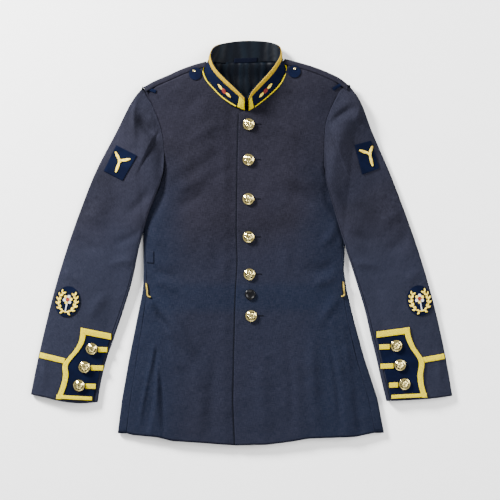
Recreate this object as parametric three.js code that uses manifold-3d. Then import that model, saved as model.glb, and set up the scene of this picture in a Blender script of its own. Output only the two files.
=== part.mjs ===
// Band tunic laid flat on its back, front up. Millimetres, +Z up, +Y toward the collar,
// origin under the middle of its box. The wearer's right side is at -X.
import * as THREE from "three";
import { mergeVertices } from "three/addons/utils/BufferGeometryUtils.js";
import Module from "manifold-3d";

const kit = await Module();
kit.setup();

// Driving sizes
const CLOTH = 1.7; // wool wall
const TRIM = 1.3; // patches and bands laid on a panel
const GAP = 0.35; // clear space between two pieces
const LAP = 44; // left front over right front
const LAP_STEP = 2.6; // how far the under front drops below the upper one
const SIDE_FOLD = 4.6; // radius of the body's side folds
const SHOULDER_FOLD = 10; // radius of the shoulder folds
const SLEEVE_FOLD = 4.4; // radius of the sleeve creases
const BUTTON_R = 11.4;
const CUFF_BUTTON_R = 11.4;
const BRAID_W = 10.7;
const COLLAR_T = 1.5;

// Body: one row per level, the outline at each side, how far the side seam lies over the fold,
// the fold's share of its full radius, and how much the front stands above the fold
const BODY = [
  { level: "hem", y: -372, left: -243.5, right: 280, seam: 20, fold: 1, rise: 5 },
  { level: "skirt", y: -306, left: -235, right: 267.2, seam: 20, fold: 1, rise: 6 },
  { level: "seat", y: -228, left: -221.3, right: 241.8, seam: 18, fold: 1, rise: 7 },
  { level: "hip", y: -150, left: -205.7, right: 220.4, seam: 15, fold: 1, rise: 8 },
  { level: "low waist", y: -92, left: -194, right: 206.7, seam: 11, fold: 1, rise: 9 },
  { level: "waist", y: -53, left: -192.5, right: 200.9, seam: 8, fold: 1, rise: 9 },
  { level: "ribs", y: -4, left: -193.1, right: 202.8, seam: 6, fold: 1, rise: 11 },
  { level: "chest", y: 50, left: -195.4, right: 206.8, seam: 5, fold: 0.8, rise: 14 },
  { level: "underarm", y: 99.5, left: -197.9, right: 211.6, seam: 2.8, fold: 0.58, rise: 16 },
  { level: "armhole", y: 200, left: -206, right: 222, seam: 2, fold: 0.58, rise: 18 },
  { level: "shoulder", y: 320, left: -216, right: 233, seam: 2, fold: 0.58, rise: 18 },
];

// Hem: across the front layer, from the left fold to the right one
const HEM = [
  { x: -243, y: -368 }, { x: -213.5, y: -376.4 }, { x: -166.7, y: -380.3 }, { x: -135.5, y: -388 },
  { x: -73.1, y: -392 }, { x: -14.6, y: -396.6 }, { x: 51.7, y: -395 }, { x: 98.5, y: -389 },
  { x: 129.7, y: -383.2 }, { x: 223.3, y: -379.9 }, { x: 279, y: -368.6 },
];

// Edge of the upper front, from the hem to the neck
const FRONT_EDGE = [
  { x: -12.5, y: -396 }, { x: -16.2, y: -310 }, { x: -13.3, y: -169.7 }, { x: -11.3, y: -99.5 },
  { x: -7.6, y: -37 }, { x: -9.4, y: 25.4 }, { x: -7.4, y: 181 }, { x: -5.2, y: 254 },
];

// Armhole seam on the front, from the shoulder point down under the sleeve to the underarm
const ARMHOLE = {
  left: [
    { x: -192.1, y: 306.2 }, { x: -186.2, y: 289.4 }, { x: -175.1, y: 272.4 }, { x: -165.4, y: 249.6 },
    { x: -157.4, y: 226.8 }, { x: -152.5, y: 200.9 }, { x: -151.1, y: 173.6 }, { x: -152.1, y: 140.4 },
  ],
  right: [
    { x: 209.6, y: 310 }, { x: 195.6, y: 301.7 }, { x: 185.6, y: 286 }, { x: 172.6, y: 259.4 },
    { x: 164.8, y: 236.5 }, { x: 161.6, y: 210.6 }, { x: 161.2, y: 174.9 }, { x: 162, y: 142.4 },
  ],
};
const SCOOP = {
  left: [{ x: -152.1, y: 140.4 }, { x: -158.9, y: 119 }, { x: -174.5, y: 106 }, { x: -197.9, y: 99.5 }],
  right: [{ x: 162, y: 142.4 }, { x: 170, y: 121 }, { x: 186, y: 106.5 }, { x: 211.6, y: 99.5 }],
};
const BACK_ARMHOLE = {
  left: [{ x: -192.1, y: 306.2 }, { x: -184, y: 226 }, { x: -187, y: 160 }, { x: -197.9, y: 99.5 }],
  right: [{ x: 209.6, y: 310 }, { x: 198, y: 226 }, { x: 200, y: 160 }, { x: 211.6, y: 99.5 }],
};

// Shoulder fold, from the shoulder point to the neck
const SHOULDER = {
  left: [
    { x: -192.1, y: 306.2 }, { x: -170.6, y: 317.9 }, { x: -143.3, y: 329.6 }, { x: -119.9, y: 340.3 },
    { x: -95, y: 349.4 }, { x: -69.2, y: 356.4 },
  ],
  right: [
    { x: 209.6, y: 310 }, { x: 194, y: 322.6 }, { x: 166.7, y: 336 }, { x: 137.5, y: 347.1 },
    { x: 110, y: 355 }, { x: 84.8, y: 361.7 },
  ],
};

// Sleeves: one row per section from the head to the cuff, the outer and the inner crease
const SLEEVE = {
  left: [
    { outX: -192.1, outY: 306.2, inX: -152.1, inY: 140.4 },
    { outX: -212.6, outY: 280.8, inX: -158.9, inY: 117 },
    { outX: -244.7, outY: 220.4, inX: -181.7, inY: 58.5 },
    { outX: -285.7, outY: 142.4, inX: -200.9, inY: -9.8 },
    { outX: -316.9, outY: 64.4, inX: -214.5, inY: -72.2 },
    { outX: -344.2, outY: -13.7, inX: -232, inY: -131 },
    { outX: -367.6, outY: -91.7, inX: -251.6, inY: -189.2 },
    { outX: -387.1, outY: -169.7, inX: -265.2, inY: -228.2 },
    { outX: -404.6, outY: -247.7, inX: -275, inY: -267.2 },
    { outX: -414.4, outY: -297.4, inX: -282.8, inY: -312.5 },
  ],
  right: [
    { outX: 209.6, outY: 310, inX: 162, inY: 142.4 },
    { outX: 231.1, outY: 280.8, inX: 166.5, inY: 116 },
    { outX: 255.5, outY: 220.4, inX: 184, inY: 55 },
    { outX: 289.6, outY: 142.4, inX: 202.8, inY: -5.9 },
    { outX: 319.8, outY: 64.4, inX: 224.3, inY: -72.2 },
    { outX: 347.1, outY: -13.7, inX: 242, inY: -131 },
    { outX: 370.5, outY: -91.7, inX: 255.5, inY: -189.2 },
    { outX: 390, outY: -169.7, inX: 265.2, inY: -228.2 },
    { outX: 405.6, outY: -247.7, inX: 274, inY: -267.2 },
    { outX: 414.4, outY: -300, inX: 284, inY: -309.5 },
  ],
};
const CUFF_EDGE = {
  left: [{ x: -414.4, y: -297.4 }, { x: -385, y: -303 }, { x: -353.9, y: -310 }, { x: -318, y: -314 },
    { x: -282.8, y: -312.5 }],
  right: [{ x: 414.4, y: -300 }, { x: 379.3, y: -304.2 }, { x: 348.1, y: -306.6 }, { x: 316.9, y: -308.4 },
    { x: 284, y: -309.5 }],
};

// Neck seam under the collar and the collar's free edge, one row per section from the wearer's
// right front end round the back to the left front end
const COLLAR = [
  { baseX: 6.4, baseY: 259, baseZ: 27, topX: 6.8, topY: 279.5, topZ: 53 },
  { baseX: -15.4, baseY: 269, baseZ: 26.5, topX: -7, topY: 294, topZ: 51 },
  { baseX: -36.3, baseY: 282.6, baseZ: 25.5, topX: -26.5, topY: 313, topZ: 47 },
  { baseX: -53.8, baseY: 300, baseZ: 24, topX: -43.8, topY: 331, topZ: 42 },
  { baseX: -68.5, baseY: 317, baseZ: 22, topX: -55.2, topY: 348, topZ: 35 },
  { baseX: -74.2, baseY: 334, baseZ: 19, topX: -59.8, topY: 368, topZ: 26 },
  { baseX: -66, baseY: 348, baseZ: 13, topX: -51, topY: 385.5, topZ: 15 },
  { baseX: -38, baseY: 351, baseZ: 6, topX: -29, topY: 393.6, topZ: 6.5 },
  { baseX: 5, baseY: 352, baseZ: 4, topX: 8, topY: 397.6, topZ: 4.5 },
  { baseX: 50, baseY: 354, baseZ: 6, topX: 50, topY: 395.4, topZ: 6.5 },
  { baseX: 78, baseY: 351, baseZ: 13, topX: 73, topY: 386, topZ: 15 },
  { baseX: 86.8, baseY: 336, baseZ: 19, topX: 75.5, topY: 367, topZ: 26 },
  { baseX: 80.5, baseY: 317, baseZ: 22, topX: 66.5, topY: 349, topZ: 35 },
  { baseX: 69, baseY: 301, baseZ: 24, topX: 53.5, topY: 331, topZ: 42 },
  { baseX: 49, baseY: 283, baseZ: 25.5, topX: 36, topY: 311, topZ: 47 },
  { baseX: 29.5, baseY: 268, baseZ: 26.5, topX: 20.5, topY: 293, topZ: 51 },
  { baseX: 13.6, baseY: 258, baseZ: 27, topX: 13.2, topY: 279, topZ: 53 },
];

// Large soft folds in the front: a ridge (+) or a trough (-) along a line
const FOLDS = [
  { on: "left hip", x0: -174, y0: -118, x1: -100, y1: -210, wide: 12, high: 5 },
  { on: "left hip valley", x0: -172, y0: -128, x1: -142, y1: -168, wide: 6, high: -3.5 },
  { on: "left vent", x0: -168, y0: -205, x1: -178, y1: -372, wide: 9, high: 4 },
  { on: "left vent valley", x0: -168, y0: -215, x1: -190, y1: -360, wide: 5, high: -2.5 },
  { on: "right skirt", x0: 176, y0: -160, x1: 205, y1: -372, wide: 14, high: 5 },
  { on: "right skirt valley", x0: 200, y0: -200, x1: 232, y1: -366, wide: 9, high: -3 },
  { on: "right chest", x0: -136, y0: 130, x1: -60, y1: 190, wide: 16, high: 4 },
  { on: "left chest", x0: 140, y0: 130, x1: 80, y1: 180, wide: 16, high: 3 },
  { on: "middle skirt", x0: 96, y0: -230, x1: 112, y1: -380, wide: 18, high: 3 },
];
const HEAD_FOLDS = {
  left: [
    { on: "ridge", x0: -208, y0: 276, x1: -206, y1: 196, wide: 8, high: 3.5 },
    { on: "dent", x0: -196, y0: 238, x1: -170, y1: 212, wide: 9, high: -4 },
    { on: "elbow", x0: -262, y0: 90, x1: -300, y1: 40, wide: 16, high: 3 },
  ],
  right: [
    { on: "ridge", x0: 232, y0: 272, x1: 222, y1: 232, wide: 8, high: 3.5 },
    { on: "ridge low", x0: 248, y0: 234, x1: 254, y1: 202, wide: 8, high: 3 },
    { on: "dent", x0: 178, y0: 232, x1: 218, y1: 264, wide: 9, high: -4 },
    { on: "elbow", x0: 270, y0: 90, x1: 312, y1: 36, wide: 16, high: 3 },
  ],
};

// Small measuring tools
const mix = (a, b, t) => a + (b - a) * t;
const clamp = (v, lo, hi) => Math.min(hi, Math.max(lo, v));
const smooth = (a, b, v) => {
  const t = clamp((v - a) / (b - a), 0, 1);
  return t * t * (3 - 2 * t);
};

// A row of a table at any level between its rows, with straight runs between them
function levelOf(table, key, at, value) {
  let i = 0;
  while (i < table.length - 2 && at > table[i + 1][key]) i++;
  const t = clamp((at - table[i][key]) / (table[i + 1][key] - table[i][key]), 0, 1);
  return mix(table[i][value], table[i + 1][value], t);
}

// A smooth line through a table's points, as a function of its length from 0 to 1
function lineOf(points) {
  const curve = new THREE.CatmullRomCurve3(
    points.map((p) => new THREE.Vector3(p.x, p.y, p.z || 0)), false, "centripetal");
  curve.arcLengthDivisions = 240;
  return (t) => curve.getPointAt(clamp(t, 0, 1));
}

// Distance from a point to a smooth line in plan
function farFrom(line, steps) {
  const dots = [];
  for (let i = 0; i <= steps; i++) dots.push(line(i / steps));
  return (x, y) => {
    let best = 1e9;
    for (let i = 0; i < steps; i++) {
      const a = dots[i];
      const b = dots[i + 1];
      const ex = b.x - a.x;
      const ey = b.y - a.y;
      const t = clamp(((x - a.x) * ex + (y - a.y) * ey) / (ex * ex + ey * ey), 0, 1);
      best = Math.min(best, Math.hypot(x - a.x - ex * t, y - a.y - ey * t));
    }
    return best;
  };
}

// Height of a round fold at distance d from its edge: upper and lower skin
const arcUp = (r, d) => (d >= r ? 2 * r : r + Math.sqrt(Math.max(0, r * r - (r - d) * (r - d))));

function foldsAt(folds, x, y) {
  let z = 0;
  for (const f of folds) {
    const ex = f.x1 - f.x0;
    const ey = f.y1 - f.y0;
    const t = ((x - f.x0) * ex + (y - f.y0) * ey) / (ex * ex + ey * ey);
    const k = clamp(t, 0, 1);
    const d = Math.hypot(x - f.x0 - ex * k, y - f.y0 - ey * k);
    z += f.high * Math.exp(-((d / f.wide) ** 2)) * (0.35 + 0.65 * Math.sin(Math.PI * clamp(k, 0.08, 0.92)));
  }
  return z;
}

// The body's outline and the height of its front
const bodyAt = (value, y) => levelOf(BODY, "y", y, value);
const foldAt = (y) => SIDE_FOLD * bodyAt("fold", y);
const shoulderLine = { left: lineOf(SHOULDER.left), right: lineOf(SHOULDER.right) };
const fromShoulder = { left: farFrom(shoulderLine.left, 24), right: farFrom(shoulderLine.right, 24) };

function bodyTop(x, y, flatEdge = false) {
  const r = foldAt(y);
  const d = Math.max(0, Math.min(x - bodyAt("left", y), bodyAt("right", y) - x));
  const rise = bodyAt("rise", y) * 1.18;
  const edge = flatEdge ? 2 * r : arcUp(r, d);
  let z = edge + rise * (1 - Math.exp(-Math.max(0, d - r) / 42));
  if (y > 190) {
    const far = Math.min(fromShoulder.left(x, y), fromShoulder.right(x, y));
    const s = arcUp(SHOULDER_FOLD, far) + 8 * (1 - Math.exp(-Math.max(0, far - SHOULDER_FOLD) / 30));
    const k = clamp(0.5 + (s - z) / 8, 0, 1);
    z = mix(s, z, k) - 2 * k * (1 - k);
  }
  const inside = smooth(2, 26, d);
  return z + inside * foldsAt(FOLDS, x, y);
}

// A smooth patch between four edges, in the plan (Coons): low and high run across, near and far run up
function patchOf(low, high, near, far) {
  const c00 = low(0);
  const c10 = low(1);
  const c01 = high(0);
  const c11 = high(1);
  return (u, v) => {
    const out = { x: 0, y: 0 };
    for (const k of ["x", "y"]) {
      const ruled = mix(low(u)[k], high(u)[k], v) + mix(near(v)[k], far(v)[k], u);
      out[k] = ruled - mix(mix(c00[k], c10[k], u), mix(c01[k], c11[k], u), v);
    }
    return out;
  };
}

// Vertex normals of a grid of points, rows running up and columns across
function gridNormals(rows) {
  const n = rows.map((row) => row.map(() => new THREE.Vector3()));
  const a = new THREE.Vector3();
  const b = new THREE.Vector3();
  for (let j = 0; j < rows.length - 1; j++)
    for (let i = 0; i < rows[0].length - 1; i++) {
      a.subVectors(rows[j][i + 1], rows[j][i]).add(rows[j + 1][i + 1]).sub(rows[j + 1][i]);
      b.subVectors(rows[j + 1][i], rows[j][i]).add(rows[j + 1][i + 1]).sub(rows[j][i + 1]);
      const c = new THREE.Vector3().crossVectors(a, b);
      const size = c.length() || 1;
      c.divideScalar(size);
      for (const [p, q] of [[j, i], [j, i + 1], [j + 1, i], [j + 1, i + 1]]) n[p][q].add(c);
    }
  for (const row of n) for (const v of row) v.normalize();
  return n;
}

// A grid with its border points moved outward along the cloth
function widened(grid, by) {
  const rows = grid.map((row) => row.map((p) => p.clone()));
  const last = rows.length - 1;
  const end = rows[0].length - 1;
  const push = (p, q) => p.clone().add(p.clone().sub(q).setLength(by));
  for (const row of rows) {
    const a = push(row[0], row[1]);
    const b = push(row[end], row[end - 1]);
    row[0] = a;
    row[end] = b;
  }
  for (let i = 0; i <= end; i++) {
    const a = push(rows[0][i], rows[1][i]);
    const b = push(rows[last][i], rows[last - 1][i]);
    rows[0][i] = a;
    rows[last][i] = b;
  }
  return rows;
}

// A closed wall from a grid of points on its outer face: the inner face lies one thickness behind
// it, a grown wall is that much larger all round, and a sunk one lies that far behind the grid
function wall({ rows: grid, thick = CLOTH, flip = false, sink = 0 }, grow = 0) {
  const n = gridNormals(grid);
  const nv = grid.length;
  const nu = grid[0].length;
  const rows = grow ? widened(grid, grow) : grid;
  const pos = [];
  const sign = flip ? -1 : 1;
  for (const side of [0, 1])
    for (let j = 0; j < nv; j++)
      for (let i = 0; i < nu; i++) {
        const p = rows[j][i];
        const m = n[j][i];
        const s = ((side ? -thick - grow : grow) - sink) * sign;
        pos.push(p.x + m.x * s, p.y + m.y * s, p.z + m.z * s);
      }
  const id = (side, j, i) => side * nv * nu + j * nu + i;
  const tri = [];
  const quad = (a, b, c, d) => (flip ? tri.push(a, c, b, a, d, c) : tri.push(a, b, c, a, c, d));
  for (let j = 0; j < nv - 1; j++)
    for (let i = 0; i < nu - 1; i++) {
      quad(id(0, j, i), id(0, j, i + 1), id(0, j + 1, i + 1), id(0, j + 1, i));
      quad(id(1, j, i), id(1, j + 1, i), id(1, j + 1, i + 1), id(1, j, i + 1));
    }
  for (let i = 0; i < nu - 1; i++) {
    quad(id(0, 0, i + 1), id(0, 0, i), id(1, 0, i), id(1, 0, i + 1));
    quad(id(0, nv - 1, i), id(0, nv - 1, i + 1), id(1, nv - 1, i + 1), id(1, nv - 1, i));
  }
  for (let j = 0; j < nv - 1; j++) {
    quad(id(0, j, 0), id(0, j + 1, 0), id(1, j + 1, 0), id(1, j, 0));
    quad(id(0, j + 1, nu - 1), id(0, j, nu - 1), id(1, j, nu - 1), id(1, j + 1, nu - 1));
  }
  const g = new THREE.BufferGeometry();
  g.setAttribute("position", new THREE.Float32BufferAttribute(pos, 3));
  g.setIndex(tri);
  return g;
}

// A mesh as a solid for cutting, and back
function solidOf(g) {
  const bare = new THREE.BufferGeometry().setAttribute("position", g.getAttribute("position"));
  const m = g.index ? g : mergeVertices(bare, 1e-3);
  const flat = new Float32Array(m.attributes.position.array);
  const triVerts = new Uint32Array(m.index.array);
  return new kit.Manifold(new kit.Mesh({ numProp: 3, vertProperties: flat, triVerts }));
}

function meshOf(solid) {
  const bodies = solid.decompose().sort((a, b) => b.volume() - a.volume());
  const m = bodies[0].getMesh();
  const g = new THREE.BufferGeometry();
  g.setAttribute("position", new THREE.Float32BufferAttribute(Array.from(m.vertProperties), 3));
  g.setIndex(Array.from(m.triVerts));
  return g;
}

// A solid, cut back to stay one gap clear of its neighbours
function clearOf(geometry, neighbours) {
  if (!neighbours.length) return geometry;
  let solid = solidOf(geometry);
  for (const other of neighbours)
    solid = solid.subtract(solidOf(wall(other, GAP))).subtract(solidOf(wall(other)));
  return meshOf(solid);
}

function panel(cut, neighbours = []) {
  return clearOf(wall(cut), neighbours);
}

const steps = (n) => Array.from({ length: n + 1 }, (_, i) => i / n);
const V = (x, y, z) => new THREE.Vector3(x, y, z);

// A line through the parts of an outline, passed in order

// Front panels. The edge over the side fold is worked out along the cloth: a level x that runs on
// round the fold is turned into a place on it.
const hemY = (x) => levelOf(HEM, "x", x, "y");
const edgeX = (y) => levelOf(FRONT_EDGE, "y", y, "x");

function onFront(x, y, lift = 0) {
  const r = foldAt(y);
  for (const [side, sign] of [["left", 1], ["right", -1]]) {
    const along = (x - bodyAt(side, y)) * sign - r + (Math.PI / 2) * r;
    if (along < (Math.PI / 2) * r && along > -8) {
      const a = Math.max(along, -1.5 * r) / r;
      return V(bodyAt(side, y) + sign * (r - (r + lift) * Math.cos(a)), y, r + (r + lift) * Math.sin(a));
    }
  }
  return V(x, y, bodyTop(x, y) + lift);
}

// The side seam, as a level x along the cloth
const seamX = (side, y, gap) => {
  const sign = side === "left" ? 1 : -1;
  return bodyAt(side, y) + sign * (foldAt(y) * (1 - Math.PI / 2) + bodyAt("seam", y) + gap);
};

// Where the front meets the shoulder seam: the shoulder fold's line, moved onto the top of the front
function shoulderSeam(side, t, gap) {
  const line = shoulderLine[side];
  const p = line(t);
  const q = line(clamp(t + 0.02, 0.02, 1));
  const o = line(clamp(t + 0.02, 0.02, 1) - 0.02);
  const ux = q.x - o.x;
  const uy = q.y - o.y;
  const len = Math.hypot(ux, uy);
  const sign = side === "left" ? 1 : -1;
  const far = SHOULDER_FOLD + 2.2 + gap;
  return { x: p.x + (sign * uy * far) / len, y: p.y - (sign * ux * far) / len };
}

function frontPanel(side) {
  const left = side === "left";
  const upper = !left;
  const sign = left ? 1 : -1;
  const levels = [-380, -306, -228, -170, -120, -75, -30, 20, 62, 92];
  const lowY = hemY(seamX(side, -372, GAP));
  const rise = [{ x: seamX(side, lowY, GAP), y: lowY }];
  for (const y of levels.slice(1)) rise.push({ x: seamX(side, y, GAP), y });
  const scoop = SCOOP[side].slice().reverse();
  const arm = ARMHOLE[side].slice().reverse().slice(0, -1);
  const top = { x: shoulderSeam(side, 0.01, GAP).x + 1.5 * sign, y: shoulderSeam(side, 0.01, GAP).y };
  const sideLine = lineOf(rise);
  const scoopLine = lineOf([rise[rise.length - 1], ...scoop.map((p) => ({ x: p.x + sign, y: p.y - 0.6 }))]);
  const armLine = lineOf([{ x: scoop[3].x + sign, y: scoop[3].y - 0.6 }, ...arm.slice(1, -1), top]);
  const share = [0, 0.62, 0.74, 1];
  const outer = (v) => {
    if (v <= share[1]) return sideLine(v / share[1]);
    if (v <= share[2]) return scoopLine((v - share[1]) / (share[2] - share[1]));
    return armLine((v - share[2]) / (1 - share[2]));
  };
  const inX = upper ? 0 : LAP;
  const centre = (v) => {
    const y = mix(hemY(edgeX(-390) + inX), left ? 250 : 253, v);
    return { x: edgeX(y) + inX, y };
  };
  const neckRows = left ? COLLAR.slice(0, 6).reverse() : COLLAR.slice(11);
  const neck = neckRows.map((c) => ({ x: c.baseX, y: c.baseY }));
  const seam = steps(6).map((t) => shoulderSeam(side, mix(0.01, 0.93, t), GAP));
  seam[0] = top;
  const seamLine = lineOf(seam);
  const neckPoints = [seam[seam.length - 1], ...neck.slice(0, -1)];
  neckPoints.push(left ? { x: edgeX(250) + inX, y: 250 } : { x: edgeX(253), y: 253 });
  const neckLine = lineOf(neckPoints);
  const high = (u) => (u <= 0.5 ? seamLine(u * 2) : neckLine((u - 0.5) * 2));
  const x0 = rise[0].x;
  const x1 = centre(0).x;
  const low = (u) => {
    const x = mix(x0, x1, u);
    return { x, y: u === 0 ? lowY : hemY(x) };
  };
  const patch = patchOf(low, high, outer, centre);
  const us = [0, 0.015, 0.04, 0.1, 0.19, 0.28, 0.36, 0.44, 0.5, 0.58, 0.67, 0.76, 0.85, 0.93, 1];
  const vs = [0, 0.06, 0.13, 0.2, 0.27, 0.34, 0.41, 0.48, 0.55, 0.62, 0.68, 0.74, 0.8, 0.87, 0.94, 1];
  const rows = vs.map((v) => us.map((u) => {
    const p = patch(u, v);
    const at = onFront(p.x, p.y);
    if (!upper) at.z -= LAP_STEP * smooth(-36, -14, at.x);
    return at;
  }));
  return { rows, flip: !left };
}

// Back: one piece from the seam on one front, round that side's fold, over the floor, round the
// other fold to its seam, and over both shoulders to the shoulder seams
function onBack(x, y) {
  const r = foldAt(y);
  for (const [side, sign] of [["left", 1], ["right", -1]]) {
    const edge = bodyAt(side, y);
    const along = r - (x - edge) * sign;
    if (along > 0 && y < 108) {
      const a = along / r;
      if (a <= Math.PI) return V(edge + sign * (r - r * Math.sin(a)), y, r - r * Math.cos(a));
      const top = edge + sign * (r + along - Math.PI * r);
      return V(top, y, bodyTop(top, y));
    }
  }
  return V(x, y, 0);
}

function backPanel() {
  const seamBack = (side, y) => {
    const sign = side === "left" ? 1 : -1;
    return { x: bodyAt(side, y) + sign * (foldAt(y) * (1 - Math.PI / 2) - bodyAt("seam", y)), y };
  };
  const levels = [-306, -228, -170, -120, -75, -30, 20, 62, 92];
  const turn = { left: V(-0.352, 0.936, 0), right: V(0.31, 0.951, 0) };
  const sideLine = (side) => {
    const hemPoint = seamBack(side, -372);
    hemPoint.y = hemY(bodyAt(side, -372) + (side === "left" ? 20 : -20));
    const lower = lineOf([hemPoint, ...levels.map((y) => seamBack(side, y))]);
    const arm = BACK_ARMHOLE[side].slice().reverse();
    const end = arm[arm.length - 1];
    const last = { x: end.x - turn[side].x * SHOULDER_FOLD, y: end.y - turn[side].y * SHOULDER_FOLD };
    const upper = lineOf([seamBack(side, 92), ...arm.slice(0, -1), last]);
    return (v) => (v < 0.7 ? lower(v / 0.7) : upper((v - 0.7) / 0.3));
  };
  const near = sideLine("left");
  const far = sideLine("right");
  const neck = COLLAR.slice(6, 11).map((c) => ({ x: c.baseX, y: c.baseY }));
  const share = (u) => clamp(u < 0.5 ? u / 0.3 : (1 - u) / 0.3, 0, 1);
  const radius = (u) => mix(3, SHOULDER_FOLD, smooth(0.42, 0.31, Math.min(u, 1 - u)));
  const lean = (u) => {
    const t = smooth(0.25, 0.75, u);
    return V(mix(turn.left.x, turn.right.x, t), mix(turn.left.y, turn.right.y, t), 0);
  };
  const nL = shoulderLine.left(1);
  const nR = shoulderLine.right(1);
  const neckLine = lineOf([{ x: nL.x, y: nL.y }, ...neck, { x: nR.x, y: nR.y }]);
  const fold = (u) => {
    if (u <= 0.3) return shoulderLine.left(share(u));
    if (u >= 0.7) return shoulderLine.right(share(u));
    return neckLine((u - 0.3) / 0.4);
  };
  const high = (u) => {
    const p = fold(u);
    const n = lean(u);
    return { x: p.x - n.x * radius(u), y: p.y - n.y * radius(u) };
  };
  const h0 = near(0);
  const h1 = far(0);
  const low = (u) => {
    const x = mix(h0.x, h1.x, u);
    return { x, y: hemY(clamp(x, -224, 262)) };
  };
  const patch = patchOf(low, high, near, far);
  const half = [0, 0.03, 0.04, 0.05, 0.059, 0.08, 0.15, 0.225, 0.3, 0.34, 0.4];
  const us = [...half, 0.5, ...half.slice().reverse().map((u) => 1 - u)];
  const vs = [0, 0.09, 0.18, 0.27, 0.36, 0.45, 0.53, 0.61, 0.66, 0.7, 0.76, 0.84, 0.92, 1];
  const rows = vs.map((v) => us.map((u) => {
    const p = patch(u, v);
    return onBack(p.x, p.y);
  }));
  const last = (u) => mix(-60, 90, smooth(0.42, 0.3, Math.min(u, 1 - u)));
  for (const k of [0.25, 0.5, 0.75, 1])
    rows.push(us.map((u) => {
      const p = high(u);
      const n = lean(u);
      const a = (mix(-90, last(u), k) * Math.PI) / 180;
      const r = radius(u);
      return V(p.x + n.x * r * Math.cos(a), p.y + n.y * r * Math.cos(a), r + r * Math.sin(a));
    }));
  rows.push(us.map((u, i) => {
    const p = rows[rows.length - 1][i];
    const n = lean(u);
    const w = mix(0.4, 1.8, smooth(0.34, 0.3, Math.min(u, 1 - u)));
    return V(p.x - n.x * w, p.y - n.y * w, p.z);
  }));
  return { rows, flip: true };
}

// Sleeves. A place on one is its share across (0 outer crease, 1 inner) and its share down (0 head, 1 cuff).
const LIES_ON = 0.55;
const UNDERARM = 99.5;
const makeSleeve = (side) => {
  const sign = side === "left" ? 1 : -1;
  const shifted = (list) => list.map((p) => ({ x: p.x - sign * 0.45, y: p.y }));
  const rows = SLEEVE[side];
  const outerPoints = rows.map((r) => ({ x: r.outX, y: r.outY }));
  const innerPoints = rows.map((r) => ({ x: r.inX, y: r.inY }));
  outerPoints[0].x -= sign * 0.45;
  innerPoints[0].x -= sign * 0.45;
  const outer = lineOf(outerPoints);
  const inner = lineOf(innerPoints);
  const head = lineOf(shifted(ARMHOLE[side]));
  const headUnder = lineOf(shifted([...BACK_ARMHOLE[side], ...SCOOP[side].slice(0, -1).reverse()]));
  const cuff = lineOf(CUFF_EDGE[side]);
  const top = patchOf(head, cuff, outer, inner);
  const under = patchOf(headUnder, cuff, outer, inner);
  const width = (v) => Math.hypot(outer(v).x - inner(v).x, outer(v).y - inner(v).y);
  const rOut = (v) => mix(SHOULDER_FOLD, SLEEVE_FOLD, smooth(0, 0.22, v));
  const rIn = (v) => SLEEVE_FOLD * mix(0.78, 1, smooth(0, 0.1, v));
  // Height of what the sleeve lies on: the floor, or the front where it crosses the body
  const rest = (x, y, reach) => {
    const out = (bodyAt(side, y) - x) * sign;
    if (out <= 0) return bodyTop(x, y, true) + LIES_ON;
    return (2 * foldAt(y) + LIES_ON) * (1 - smooth(0, reach, out));
  };
  const low = (x, y) => {
    const inside = smooth(14, 26, (x - bodyAt(side, y)) * sign);
    const k = mix(1 - smooth(0, 25, y - UNDERARM), 1, inside);
    return rest(x, y, 22) * k;
  };
  const topAt = (w, v, lift = 0) => {
    const p = top(w, v);
    const W = width(v);
    const dOut = Math.max(0, w * W);
    const dIn = Math.max(0, (1 - w) * W);
    const isOut = dOut < dIn;
    const d = Math.min(dOut, dIn);
    const r = isOut ? rOut(v) : rIn(v);
    const base = rest(p.x, p.y, 60);
    let z = base + arcUp(r, d) + 6.5 * (1 - Math.exp(-Math.max(0, d - r) / 28));
    if (v < 0.12) {
      const h = head(w);
      const atHead = bodyTop(h.x, h.y) + 7 * smooth(0.72, 1, w);
      z = mix(atHead, z, smooth(0, 0.11, v));
    }
    z += smooth(3, 20, d) * smooth(0, 0.03, v) * foldsAt(HEAD_FOLDS[side], p.x, p.y);
    return V(p.x, p.y, z + lift);
  };
  const underAt = (w, v, arc = 0) => {
    const p = under(w, v);
    return V(p.x, p.y, low(p.x, p.y) + arc);
  };
  // Places in plan turned into shares, for what lies on the sleeve
  const find = (x, y) => {
    let w = 0.5;
    let v = 0.5;
    for (let i = 0; i < 12; i++) {
      const p = top(w, v);
      const pw = top(w + 0.01, v);
      const pv = top(w, v + 0.01);
      const a = (pw.x - p.x) / 0.01;
      const b = (pv.x - p.x) / 0.01;
      const c = (pw.y - p.y) / 0.01;
      const d = (pv.y - p.y) / 0.01;
      const det = a * d - b * c;
      w = clamp(w + (d * (x - p.x) - b * (y - p.y)) / det, 0, 0.99);
      v = clamp(v + (a * (y - p.y) - c * (x - p.x)) / det, 0, 0.985);
    }
    return { w, v };
  };
  const over = (x, y, lift = 0) => {
    const s = find(x, y);
    const p = topAt(s.w, s.v, lift);
    return V(x, y, p.z);
  };
  return { side, sign, outer, inner, width, rOut, rIn, topAt, underAt, find, over };
};
const sleeves = { left: makeSleeve("left"), right: makeSleeve("right") };
const OUTER_SEAM = 18;
const innerSeam = (v) => mix(5.8, 9.5, smooth(0.3, 1, v));
const SLEEVE_ROWS = [
  0, 0.015, 0.04, 0.075, 0.12, 0.17, 0.22, 0.28, 0.34, 0.41, 0.49, 0.58, 0.67, 0.76, 0.84, 0.92, 1,
];
const inFrom = (r, deg) => r * (1 - Math.cos((deg * Math.PI) / 180));

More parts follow.
